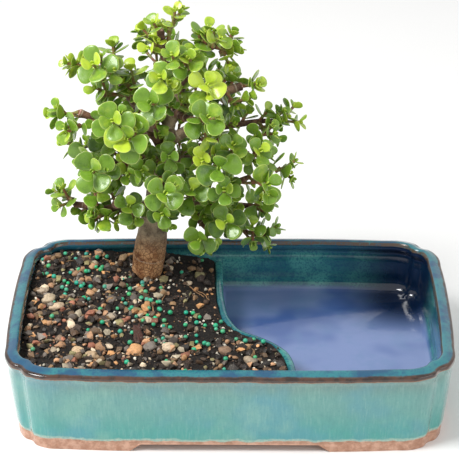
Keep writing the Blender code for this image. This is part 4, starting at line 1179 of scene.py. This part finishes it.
class Heap:
    """Many small solids that become one piece, each with its colour."""

    def __init__(self):
        self.points = []
        self.faces = []
        self.colours = []

    def add(self, points, faces, colour):
        self.faces += raised(faces, len(self.points))
        self.points.extend(map(tuple, points))
        self.colours.extend([colour] * len(points))

    def piece(self, name, material, sharp):
        thing = plain_object(name, self.points, self.faces)
        store(thing, "tint", self.colours, "FLOAT_COLOR", "color")
        thing.data.materials.append(material)
        dress(thing, sharp)
        show(thing, "potting_mix", "soil")


def settled(points, size, turn, tilt, place):
    """A unit shape scaled, turned, tilted and put in its place."""
    spin = Matrix.Rotation(turn, 3, "Z") @ Matrix.Rotation(tilt, 3, "X")
    return (points * np.array(size)) @ np.array(spin.transposed()) + np.array(place)


def tinted(colour, draws, spread=0.12):
    """A screen colour made a little lighter or darker."""
    share = 1 + draws.uniform(-spread, spread)
    return srgb(*(min(255, value * share) for value in colour))


def make_gravel(trunk):
    """The larger stones, listed and by rule, then crumbs and grit strewn over the bed."""
    draws = random.Random(31)
    heap = Heap()
    round_ball = ball(3)
    for index, (place, length, width, turn) in enumerate(stone_places()):
        shape = lumpy(round_ball[0], draws, 0.34)
        big = index < len(STONES)
        colour = STONE_COLOURS[index] if big else draws.choice(PEBBLE_COLOURS)
        lift = Vector((0, 0, 0.16 * width))
        size = (length, width, FLATNESS * width)
        solid = settled(shape, size, math.radians(turn), draws.uniform(-0.2, 0.2), place + lift)
        heap.add(solid, round_ball[1], tinted(colour, draws, 0.05))
    rough_ball = ball(1)
    kept = 0
    while kept < GRAINS:
        x, y = (draws.uniform(*span) for span in STREW_FIELD)
        size = 0.9 + 5.4 * draws.random()**2.6
        if not in_bed(x, y, size / 2) or math.hypot(x - trunk.x, y - trunk.y) < TRUNK_ROOM:
            continue
        if size > COARSE and draws.random() < 0.9 * clamp((x + 70) / 60) * clamp((y + 50) / 40):
            continue
        kept += 1
        shade = noise.noise(Vector((x / 19, y / 19, 5.0))) - 0.9 * clamp((x + 40) / 90)
        pale = draws.random() < (0.12 if size < 1.6 else 0.46 + 0.5 * shade)
        colour = draws.choice(PEBBLE_COLOURS if pale else GRIT_COLOURS)
        shape = lumpy(rough_ball[0], draws, 0.9)
        scale = (size, size * draws.uniform(0.6, 0.95), size * draws.uniform(0.5, 0.85))
        solid = settled(shape, scale, draws.uniform(0, 6.3), draws.uniform(-0.7, 0.7),
                        (x, y, crumbs(x, y) + 0.2 * size))
        heap.add(solid, rough_ball[1], tinted(colour, draws, 0.2))
    heap.piece("gravel", stones_finish(), 55)


def strew(count, draws, low, high, stray=0.3, margin=2.0):
    """Places on the bed with a size each, most of them near PRILL_BAND; stray is the share beyond."""
    found = []
    start, end = (Vector(point) for point in PRILL_BAND)
    while len(found) < count:
        x, y = (draws.uniform(*span) for span in STREW_FIELD)
        size = draws.uniform(low, high)
        share = clamp((Vector((x, y)) - start).dot(end - start) / (end - start).length_squared)
        off = (Vector((x, y)) - start.lerp(end, share)).length / BAND_REACH
        if in_bed(x, y, margin) and draws.random() < stray + (1 - stray) * math.exp(-off * off):
            found.append((x, y, size))
    return found


def make_prills():
    """Round green fertiliser prills and pale perlite, lying on the bed."""
    draws = random.Random(41)
    prills = Heap()
    shape, faces = ball(2)
    for x, y, size in strew(PRILLS, draws, *PRILL_SIZE, 0.08):
        place = (x, y, crumbs(x, y) + 0.62 * size)
        colour = (draws.uniform(40, 92), draws.uniform(160, 192), draws.uniform(116, 150))
        prills.add(settled(shape, (size, size, size * 0.94), 0.0, 0.0, place), faces, srgb(*colour))
    prills.piece("fertiliser_prills", prill_finish(), 80)
    perlite = Heap()
    for x, y, size in strew(PERLITE, draws, *PERLITE_SIZE):
        place = (x, y, crumbs(x, y) + 0.5 * size)
        scale = (size, size * 0.85, size * 0.8)
        solid = settled(lumpy(shape, draws, 0.8), scale, draws.uniform(0, 6), 0.0, place)
        perlite.add(solid, faces, tinted((232, 224, 206), draws, 0.05))
    perlite.piece("perlite", stones_finish("perlite_finish"), 60)


def make_rootlets(trunk):
    """Thin tan rootlets that lie over the bed, most of them near the trunk."""
    draws = random.Random(47)
    heap = Heap()
    for index in range(ROOTLETS):
        far = draws.uniform(*ROOTLET_FAR)
        turn = draws.uniform(0, 2 * math.pi)
        x = trunk.x + far * math.cos(turn)
        y = trunk.y - abs(far * math.sin(turn)) * (1 if index % 3 else -1)
        heading = draws.uniform(0, 2 * math.pi)
        path = []
        for _ in range(ROOTLET_POINTS):
            if not in_bed(x, y, 1.5):
                break
            path.append(Vector((x, y, crumbs(x, y) + 0.5)))
            heading += draws.uniform(-0.5, 0.5)
            x += ROOTLET_STEP * math.cos(heading)
            y += ROOTLET_STEP * math.sin(heading)
        if len(path) > 3:
            points, faces = tube(path, [ROOTLET_RADIUS] * len(path), 6)
            heap.add(points, faces, tinted((168, 128, 88), draws, 0.15))
    heap.piece("rootlets", stones_finish("rootlet_finish"), 80)


def make_bark_chip():
    """The one dark chip of bark that stands half buried at the front left."""
    draws = random.Random(53)
    heap = Heap()
    shape, faces = ball(3)
    foot = seen_on_soil(*CHIP_PLACE)
    solid = settled(lumpy(shape, draws, 0.6), CHIP_SIZE, *CHIP_TURN, foot + Vector((0, 0, CHIP_LIFT)))
    heap.add(solid, faces, srgb(74, 40, 30))
    heap.piece("bark_chip", stones_finish("chip_finish"), 50)


def earth():
    """Nearly black, crumbly potting mix with paler fibres."""
    f = Finish("potting_mix", IOR=1.45)
    blotch = f.ramp(f.noise(6, 5, 0.7), 0.35, 0.65)
    colour = f.mix(blotch, (24, 19, 16), (46, 34, 26))
    colour = f.over(colour, f.noise(1.1, 3, 0.8), 0.6, 0.7, (108, 80, 56))
    colour = f.over(colour, f.cells(1.6), 0.25, 0.6, (20, 16, 14))
    f.set("Base Color", colour)
    f.set("Roughness", f.rough(2.5, 3, 0.75, 0.97))
    f.bump(f.noise(0.7, 5, 0.75), 0.5)
    return f.material


def stones_finish(name="gravel_finish"):
    """Stones, each in its own colour, speckled and worn."""
    f = Finish(name, IOR=1.5)
    tint = f.given("tint", "Color")
    colour = f.over(tint, f.noise(1.6, 5, 0.75), 0.4, 0.66, (54, 44, 36), 0.45)
    colour = f.over(colour, f.noise(0.6, 3, 0.7), 0.6, 0.72, (236, 222, 200), 0.4)
    f.set("Base Color", colour)
    f.set("Roughness", f.rough(2, 3, 0.55, 0.85))
    f.bump(f.noise(0.5, 5, 0.7), 0.18)
    return f.material


def prill_finish():
    """Waxy green coating of the prills."""
    f = Finish("prill_finish", IOR=1.46, Subsurface_Weight=0.2, Subsurface_Scale=0.001)
    f.set("Base Color", f.over(f.given("tint", "Color"), f.noise(1.2, 3), 0.35, 0.65, (30, 120, 90), 0.4))
    f.set("Roughness", f.rough(1.5, 2, 0.3, 0.5))
    f.bump(f.noise(0.6, 2), 0.05)
    return f.material

# Wood

BARK_CELL = 0.62        # mesh size of the wood
TUBE_SIDES = 20
TUBE_STEPS = 5
# Branches that were cut off, whose ends show the cut
CUT_ENDS = ("left_b_stub", "upper_right", "right_upper", "right_2", "left_d", "trunk")
RING_GAP = 7.5          # mean distance between the ring scars that fallen leaves left
SCARS_TO = 190.0        # length of the longest branch
LUMP = 4.5              # size of the lumps in the bark, and of its upright creases
CREASE = 1.4
CREASE_LENGTH = 3.0
ORANGE_BELOW = 76.0     # height under which the bark is orange-brown and cracked


def branch_lines():
    """Each branch's name, smooth path and radii, in the same places as the part's."""
    lines = {}
    for name, (_, rows) in WOOD.items():
        path = smooth_path([seen(u, v, y) for u, v, y, _ in rows], TUBE_STEPS)
        knots = [k * TUBE_STEPS for k in range(len(rows))]
        radii = list(np.interp(range(len(path)), knots, [radius for *_, radius in rows]))
        lines[name] = (path, radii)
    return lines


def joined(name, parts):
    """One mesh object of many solids as they are."""
    points = []
    faces = []
    for more_points, more_faces in parts:
        faces += raised(more_faces, len(points))
        points += more_points
    return make_object(name, points, faces)


def fuse(thing, cell):
    """Melts overlapping solids into one skin with soft joins."""
    modifier = thing.modifiers.new("fuse", "REMESH")
    modifier.mode = "VOXEL"
    modifier.voxel_size = cell
    soften = thing.modifiers.new("soften", "SMOOTH")
    soften.factor = 0.5
    soften.iterations = 3
    bake(thing)


def along_branches(places, lines):
    """For each place its nearest branch: the number, the way along it, its radius and direction."""
    best = np.full(len(places), 1e9)
    number = np.zeros(len(places), int)
    way = np.zeros(len(places))
    thick = np.zeros(len(places))
    for index, (path, radii) in enumerate(lines.values()):
        walked = 0.0
        for k in range(len(path) - 1):
            start = np.array(path[k])
            span = np.array(path[k + 1]) - start
            length = np.linalg.norm(span)
            share = np.clip((places - start) @ span / length**2, 0, 1)
            off = np.linalg.norm(places - start - share[:, None] * span, axis=1)
            radius = radii[k] + (radii[k + 1] - radii[k]) * share
            score = off / radius
            near = score < best
            best[near] = score[near]
            number[near] = index
            way[near] = walked + share[near] * length
            thick[near] = radius[near]
            walked += length
    return number, way, thick


def ring_scars(number, way, draws, count):
    """How far each place is on one of its branch's ring scars, from 0 to 1."""
    scars = np.zeros(len(way))
    for index in range(count):
        mine = number == index
        spot = draws.uniform(1, RING_GAP)
        while spot < SCARS_TO:
            wide = draws.uniform(0.5, 0.9)
            deep = draws.uniform(0.5, 1.0)
            scars[mine] = np.maximum(scars[mine], deep * np.exp(-((way[mine] - spot) / wide)**2))
            spot += RING_GAP * draws.uniform(0.5, 1.5)
    return scars


def cut_faces(places, lines):
    """1 on the sawn faces at the ends of the cut branches."""
    cut = np.zeros(len(places))
    for name in CUT_ENDS:
        path, radii = lines[name]
        end = np.array(path[-1])
        ahead = np.array((path[-1] - path[-2]).normalized())
        off = places - end
        near = np.linalg.norm(off, axis=1) < radii[-1] * 1.25
        cut[near & (off @ ahead > -0.55)] = 1.0
    return cut


def make_wood():
    """Trunk and branches as one skin, with ring scars, lumps and sawn ends."""
    lines = branch_lines()
    wood = joined("tree_wood", [tube(path, radii, TUBE_SIDES) for path, radii in lines.values()])
    fuse(wood, BARK_CELL)
    places = points_of(wood)
    number, way, thick = along_branches(places, lines)
    draws = random.Random(61)
    scars = ring_scars(number, way, draws, len(lines))
    cut = cut_faces(places, lines)
    normals = np.zeros(len(places) * 3)
    wood.data.vertices.foreach_get("normal", normals)
    normals = normals.reshape(-1, 3)
    lumps = np.array([noise.noise(Vector(place) / LUMP) for place in places])
    creases = np.array([noise.noise(Vector((x / CREASE, y / CREASE, z / CREASE_LENGTH)))
                        for x, y, z in places])
    scale = np.clip(thick / 8, 0.12, 1.0)
    push = (0.4 * lumps + 0.12 * creases) * scale + 0.22 * scars * np.sqrt(scale)
    push *= 1 - cut
    moved = places + normals * push[:, None]
    wood.data.vertices.foreach_set("co", moved.ravel())
    wood.data.update()
    store(wood, "scar", scars)
    store(wood, "cut", cut)
    store(wood, "thick", thick)
    store(wood, "low", np.clip((ORANGE_BELOW - moved[:, 2]) / 14, 0, 1) * (thick > 6))
    wood.data.materials.append(bark())
    dress(wood, 60)
    show(wood, "bark", "trunk")


def bark():
    """Grey-brown bark, orange and cracked low down, reddish on thin wood, pink where it is cut."""
    f = Finish("bark", IOR=1.45)
    cloud = f.ramp(f.noise(5, 5, 0.65), 0.36, 0.64)
    old = f.mix(cloud, (122, 106, 86), (176, 158, 130))
    low = f.mix(cloud, (158, 108, 68), (214, 166, 118))
    cracks = f.ramp(f.cells(2.6, "DISTANCE_TO_EDGE"), 0.0, 0.1)
    low = f.mix(cracks, (112, 66, 42), low)
    thin = f.mix(cloud, (78, 50, 42), (126, 90, 68))
    colour = f.over(thin, f.given("thick"), 2.0, 4.0, old)
    colour = f.mix(f.given("low"), colour, low)
    colour = f.over(colour, f.given("scar"), 0.45, 0.9, (206, 192, 168), 0.55)
    colour = f.over(colour, f.noise(0.9, 4, 0.7), 0.56, 0.7, (74, 54, 42), 0.5)
    pith = f.over((176, 128, 118), f.noise(1.5, 3), 0.4, 0.6, (206, 170, 152))
    colour = f.mix(f.given("cut"), colour, pith)
    f.set("Base Color", colour)
    f.set("Roughness", f.rough(3, 3, 0.6, 0.85))
    grain = f.calc("ADD", f.noise(0.8, 5, 0.7), f.calc("MULTIPLY", cracks, 0.6))
    f.bump(grain, 0.28)
    return f.material

# Leaves

# Rim of a real leaf from root to tip: (way along, half width as a share of the widest)
BLADE = ((0.0, 0.12), (0.1, 0.22), (0.28, 0.55), (0.48, 0.87), (0.67, 1.0), (0.84, 0.88),
         (0.955, 0.52), (1.0, 0.0))
RIM_RINGS = (1.0, 0.955, 0.82, 0.5)     # rings of a blade, from its rim to its middle
FULLNESS = 2.4          # how square-shouldered the blade's thickness is
CREASE_HALF = 0.13      # half width of the crease along the blade, as a share
# Most that a blade is creased, leans to one side and waves
FOLD = 0.5
LEAN = 0.03
WAVE = 0.025
BUD_SLIM = 0.62         # width of a bud leaf as a share of its length
BUD_LENGTH = 3.6
BUD_CUP = 0.05
STEM_SIDES = 10
STEM_REACH = 2.4        # how far a stem runs back into its branch
STEM_FLARE = (1.35, 1.3, 1.15)      # how much thicker it is at its foot
NODE_SWELL = 0.3        # height and length of the swelling at a pair of leaves
NODE_LENGTH = 0.9
# How much lighter or darker than the rest a shoot's leaves are: partly their own colour, partly painted
# light and shade for shoots lit or shaded in the crown
TONES = {"top": 0.1, "top_left": 0.2, "upper_far": 0.05, "upper_middle": 0.1, "upper_dark": -0.22,
         "left_upper_1": 0.05, "left_far": 0.12, "left_under": -0.05, "left_star": 0.02,
         "left_round": 0.08, "left_mid_3": -0.05, "left_low_1": -0.1, "left_low_2": 0.08,
         "left_drop": 0.05, "centre_dark": -0.2, "centre_low": -0.04, "right_yellow": 0.3,
         "right_bright": 0.26, "right_droop": 0.1, "right_tip": 0.1, "right_big": -0.16,
         "right_gloss": -0.02, "right_3_mid": -0.05, "right_low_3": -0.04}
# Painted shade: how much darker the leaves of the back shoots are
BACK_PAINTED_SHADE = -0.12
TOP_PAINTED_LIGHT = 0.1         # painted light: how much lighter the top of the crown is than its middle, and its bottom darker
CROWN_SEEN = (160, 165, 50)     # the middle of the crown in the front view, and its depth
CROWN_MIDDLE = 145.0    # height of the crown's middle, and half its height
CROWN_HALF = 70.0
LEAF_TONE = 0.46
BUD_TONE = 0.3
TONE_SPREAD = 0.16
# Small twigs that the part leaves out: how many on a shoot, and the way between two on a branch
SHOOT_TWIGS = 2
BRANCH_STEP = 9.0
TWIG_BRANCH = 4.2       # twigs grow from branches thinner than this
TWIG_LENGTH = (6.0, 12.0)       # least and most
TWIG_LEAF = (7.0, 10.5)
TWIG_TONE = -0.06
PAIR_TONE = (0.2, 0.07, -0.02, -0.08)   # from the tip down


@lru_cache(maxsize=None)
def blade_rim(steps):
    """The rim as (way, share) pairs all round, from the root's one side to its other."""
    half = [(point.x, point.y) for point in smooth_path([(a, b, 0.0) for a, b in BLADE], steps)]
    return half + [(way, -share) for way, share in reversed(half[:-1])]


def fine_leaf(shape, draws, steps=2):
    """A fleshy leaf's points, faces, and how near each point is to the rim."""
    place, along, normal, length, width, cup = shape
    across = normal.cross(along).normalized()
    thick = max(LEAF_THICK_LEAST, LEAF_THICK * length) / 2
    fold = draws.uniform(0.0, FOLD)
    lean = draws.uniform(-LEAN, LEAN)
    waver = draws.uniform(-WAVE, WAVE)
    rim = blade_rim(steps)
    points = []
    edges = []

    def lift(way, share):
        bend = cup * share * share * 0.5 + cup * way * way * 0.6
        return length * (bend + lean * share * way + waver * math.sin(3 * way + 2 * share))

    def add(way, share, ring, face):
        full = max(0.0, 1 - ring**FULLNESS)**0.5
        crease = fold * math.exp(-(share / CREASE_HALF)**2) * math.sin(math.pi * way) * (face > 0)
        rise = lift(way, share) + face * thick * full * (1 - crease)
        points.append(place + along * (way * length) + across * (share * width / 2) + normal * rise)
        edges.append(ring)

    for face in (1, -1):
        for ring in RIM_RINGS[(0 if face > 0 else 1):]:
            for way, share in rim:
                add(LEAF_MIDDLE + (way - LEAF_MIDDLE) * ring, share * ring, ring, face)
        add(LEAF_MIDDLE, 0.0, 0.0, face)
    count = len(rim)
    top = [count * k for k in range(len(RIM_RINGS))]
    first_low = count * len(RIM_RINGS) + 1
    bottom = [0] + [first_low + count * k for k in range(len(RIM_RINGS) - 1)]
    faces = []
    for rings, centre, turned in ((top, first_low - 1, False), (bottom, len(points) - 1, True)):
        for i in range(count):
            j = (i + 1) % count
            for outer, inner in zip(rings, rings[1:]):
                face = (outer + i, outer + j, inner + j, inner + i)
                faces.append(face[::-1] if turned else face)
            face = (rings[-1] + i, rings[-1] + j, centre)
            faces.append(face[::-1] if turned else face)
    return points, faces, edges


def stem_tube(path, backs):
    """The stem, run back into its branch, with a swelling at every pair of leaves."""
    start = path[0] - (path[1] - path[0]).normalized() * STEM_REACH
    fine = smooth_path([start] + path, 2)
    whole = sum((b - a).length for a, b in zip(fine, fine[1:]))
    walked = 0.0
    radii = []
    for k, place in enumerate(fine):
        if k:
            walked += (place - fine[k - 1]).length
        radius = STEM_BASE + (STEM_TIP - STEM_BASE) * walked / whole
        for back in backs:
            radius += NODE_SWELL * math.exp(-((whole - walked - back) / NODE_LENGTH)**2)
        radii.append(radius)
    for k, flare in enumerate(STEM_FLARE):
        radii[k] *= flare
    return tube(fine, radii, STEM_SIDES)


class Shoot:
    """The mesh of one leafy node, with the numbers that its materials read."""

    def __init__(self):
        self.points = []
        self.faces = []
        self.edge = []
        self.tone = []
        self.slots = []

    def add(self, points, faces, edges, tone, slot):
        self.faces += raised(faces, len(self.points))
        self.points.extend(points)
        self.edge.extend(edges)
        self.tone.extend([tone] * len(points))
        self.slots.extend([slot] * len(faces))

    def grow(self, path, turn, leaves, node, small, draws):
        """Adds a stem with its leaves and its tip bud."""
        # The leaves' tone: the shoot's own, with painted light at the top of the crown and painted shade
        # low down and on the back shoots.
        high = max(-1.0, min(1.0, (path[-1].z - CROWN_MIDDLE) / CROWN_HALF))
        base = LEAF_TONE + TONES.get(node, 0.0) + TOP_PAINTED_LIGHT * high
        base += (BACK_PAINTED_SHADE if node.startswith("back") else 0.0) + (TWIG_TONE if small else 0.0)
        points, faces = stem_tube(path, sorted({row[2][0] for row in leaves}))
        self.add(points, faces, [0.0] * len(points), base, 1)
        for _, (_, pair), (_, _, shape), _ in leaves:
            points, faces, edges = fine_leaf(shape, draws, 1 if small else 2)
            tone = base + PAIR_TONE[pair] + draws.uniform(-TONE_SPREAD, TONE_SPREAD)
            self.add(points, faces, edges, tone, 0)
        add_bud(self, path, turn, base, draws)

    def piece(self, name, nodes, materials):
        thing = make_object(name, self.points, self.faces)
        store(thing, "edge", self.edge)
        store(thing, "tone", self.tone)
        for material in materials:
            thing.data.materials.append(material)
        thing.data.polygons.foreach_set("material_index", self.slots)
        dress(thing, 70)
        show(thing, "leaf", *nodes)


def twig_from(place, ahead, away, draws):
    """A short twig's path from a place on wood that runs ahead; away points out of the crown."""
    side = Vector([draws.gauss(0, 1) for _ in range(3)])
    side = ahead.cross(side).normalized()
    out = (side + away * 0.7 + ahead * 0.5 + Vector((0, 0, 0.25))).normalized()
    length = draws.uniform(*TWIG_LENGTH)
    bend = Vector((0, 0, -0.06 * length))
    return stem_path(place, place + out * length, bend)


def plan_twigs(planned, lines):
    """Small twigs on the shoots, each in its shoot's node, then on the branches."""
    draws = random.Random(83)
    middle = seen(*CROWN_SEEN)
    twigs = []

    def add(node, place, ahead):
        away = (place - middle) * 0.02
        twigs.append((node, twig_from(place, ahead, away, draws), 2, draws.uniform(*TWIG_LEAF),
                      draws.uniform(0, 180)))

    for node, path, _, _, _ in planned:
        for _ in range(SHOOT_TWIGS):
            k = draws.randint(1, 5)
            add(node, path[k], (path[k + 1] - path[k]).normalized())
    for path, radii in lines.values():
        walked = draws.uniform(0, BRANCH_STEP)
        for k in range(1, len(path)):
            walked += (path[k] - path[k - 1]).length
            if walked > BRANCH_STEP and radii[k] < TWIG_BRANCH:
                walked = 0.0
                add("twigs", path[k], (path[k] - path[k - 1]).normalized())
    return twigs


def grown_rows(planned, placed):
    """Each stem with its node and leaves: (node, path, turn, leaf rows)."""
    return [(node, path, turn, [row for row in placed if row[1][0] == index])
            for index, (node, path, _, _, turn) in enumerate(planned)]


def make_shoots():
    """Every leafy node with its small twigs, and the twigs that grow on the branches."""
    tubes = wood_tubes()
    wood = [tree_of(points, faces) for _, _, points, faces in tubes.values()]
    planned = plan_stems(tubes, wood)
    placed = grow_leaves(planned, wood)
    stems = [tree_of(*tube(path[::2], [STEM_BASE] * 5, 4)) for _, path, _, _, _ in planned]
    twigs = plan_twigs(planned, branch_lines())
    small = grow_leaves(twigs, wood + stems + [row[3] for row in placed])
    rows = grown_rows(planned, placed) + [row for row in grown_rows(twigs, small) if row[3]]
    materials = (leaf_finish(), stem_finish())
    draws = random.Random(71)
    for node in dict.fromkeys(row[0] for row in rows):
        shoot = Shoot()
        for count, (name, path, turn, leaves) in enumerate(rows):
            if name == node:
                shoot.grow(path, turn, leaves, node, count >= len(planned), draws)
        names = [] if node == "twigs" else [f"spray_{node}"]
        shoot.piece(f"leafy_{node}", names, materials)


def add_bud(shoot, path, turn, base, draws):
    """Two tiny upright leaves at the tip of a stem."""
    place, ahead = way_along(path, 0.6)
    side = Vector((0, 0, 1)).cross(ahead).normalized()
    size = BUD_LENGTH * draws.uniform(0.7, 1.15)
    for half in (0, 1):
        out = Matrix.Rotation(math.radians(turn + 90 + 180 * half), 3, ahead) @ side
        along = (ahead * 0.93 + out * 0.36).normalized()
        normal = (ahead * 0.36 - out * 0.93).normalized()
        shape = (place, along, normal, size, size * BUD_SLIM, BUD_CUP)
        points, faces, edges = fine_leaf(shape, draws, 1)
        shoot.add(points, faces, edges, base + BUD_TONE, 0)


def leaf_finish():
    """Glossy fleshy leaf: dark to yellow-green, mottled, with a thin pale margin."""
    f = Finish("leaf", IOR=1.45, Subsurface_Weight=0.16, Subsurface_Scale=0.0018,
               Subsurface_Radius=(0.7, 1.0, 0.25), Coat_Weight=0.35, Coat_Roughness=0.16)
    # The tone carries painted light and shade of the crown along with the leaves' own colour.
    tone = f.calc("ADD", f.given("tone"), f.ramp(f.noise(5, 3), 0.3, 0.7, -0.1, 0.1))
    colour = f.over((44, 78, 22), tone, 0.0, 0.5, (110, 148, 40))
    colour = f.over(colour, tone, 0.5, 0.95, (182, 204, 58))
    colour = f.over(colour, f.noise(0.8, 3, 0.7), 0.55, 0.75, (176, 204, 108), 0.25)
    rim = f.ramp(f.given("edge"), 0.93, 0.99, 0.0, 0.6)
    colour = f.mix(rim, colour, (196, 206, 112))
    f.set("Base Color", colour)
    f.set("Roughness", f.rough(3, 3, 0.26, 0.42))
    f.bump(f.calc("ADD", f.noise(0.9, 3), f.noise(3.5, 2)), 0.07)
    return f.material


def stem_finish():
    """Green to reddish-brown young wood."""
    f = Finish("young_stem", IOR=1.45)
    cloud = f.ramp(f.noise(4, 4, 0.65), 0.4, 0.62)
    f.set("Base Color", f.mix(cloud, (122, 128, 62), (134, 84, 62)))
    f.set("Roughness", f.rough(2, 3, 0.45, 0.7))
    f.bump(f.noise(0.6, 4), 0.08)
    return f.material

# Screen, floor, light and camera

FLOOR_HALF = 6000
# Lights: place in metres, size in metres and power in watts
KEY = ((-0.75, -0.4, 1.15), 0.55, 20.0)
FILL = ((1.1, -0.8, 0.7), 1.0, 4.0)
SURROUND = 0.68
SENSOR = 36.0           # width of the camera's sensor, and the photo's longer side in pixels
PHOTO_SIDE = 460


def screen_finish():
    """Dark moulded plastic for the drain screen, which stays as its node."""
    f = Finish("screen_plastic", IOR=1.46)
    f.set("Base Color", f.mix(f.noise(3, 4), (32, 38, 34), (50, 58, 52)))
    f.set("Roughness", f.rough(1.2, 3, 0.42, 0.6))
    f.bump(f.noise(0.5, 3), 0.05)
    screen = frame["nodes"]["drain_screen"]
    screen.data.materials.clear()
    screen.data.materials.append(f.material)


def make_floor():
    """A pale floor, wide enough for every view."""
    corners = [(FLOOR_HALF * x, FLOOR_HALF * y, 0) for x, y in ((-1, -1), (1, -1), (1, 1), (-1, 1))]
    floor = plain_object("floor", corners, [(0, 1, 2, 3)])
    f = Finish("floor", Roughness=0.7)
    f.set("Base Color", f.mix(f.noise(120, 2), (238, 238, 237), (241, 241, 240)))
    floor.data.materials.append(f.material)
    floor.data.transform(PLACE)


def add_light(name, place, size, energy, target=(0.0, 0.0, 0.08)):
    """A square soft light in metres, turned to the object."""
    data = bpy.data.lights.new(name, "AREA")
    data.size = size
    data.energy = energy
    light = bpy.data.objects.new(name, data)
    light.location = place
    light.rotation_euler = (Vector(target) - Vector(place)).to_track_quat("-Z", "Y").to_euler()
    bpy.context.scene.collection.objects.link(light)


def make_light():
    """A large soft light at the upper left, a weak one at the right, and a pale surround."""
    add_light("key", *KEY)
    add_light("fill", *FILL)
    world = bpy.data.worlds.new("surround")
    world.use_nodes = True
    back = world.node_tree.nodes["Background"]
    back.inputs["Color"].default_value = (1.0, 1.0, 1.0, 1.0)
    back.inputs["Strength"].default_value = SURROUND
    bpy.context.scene.world = world
    bpy.context.scene.view_settings.view_transform = "Standard"


def make_camera():
    """The photo's view: the front view that the tree's places are read in."""
    data = bpy.data.cameras.new("photo_view")
    data.sensor_width = SENSOR
    data.lens = VIEW_FOCAL * SENSOR / PHOTO_SIDE
    camera = bpy.data.objects.new("photo_view", data)
    right = VIEW_RIGHT.normalized()
    back = -VIEW_AXIS.normalized()
    up = back.cross(right).normalized()
    turn = Matrix((right, up, back)).transposed().to_4x4()
    camera.matrix_world = Matrix.Translation(PLACE @ VIEW_POINT) @ turn
    bpy.context.scene.collection.objects.link(camera)
    bpy.context.scene.camera = camera


def main():
    trunk = seen(*TRUNK_FOOT)
    make_pot()
    make_bed()
    make_gravel(trunk)
    make_prills()
    make_rootlets(trunk)
    make_bark_chip()
    make_wood()
    make_shoots()
    screen_finish()
    make_floor()
    make_light()
    make_camera()


main()
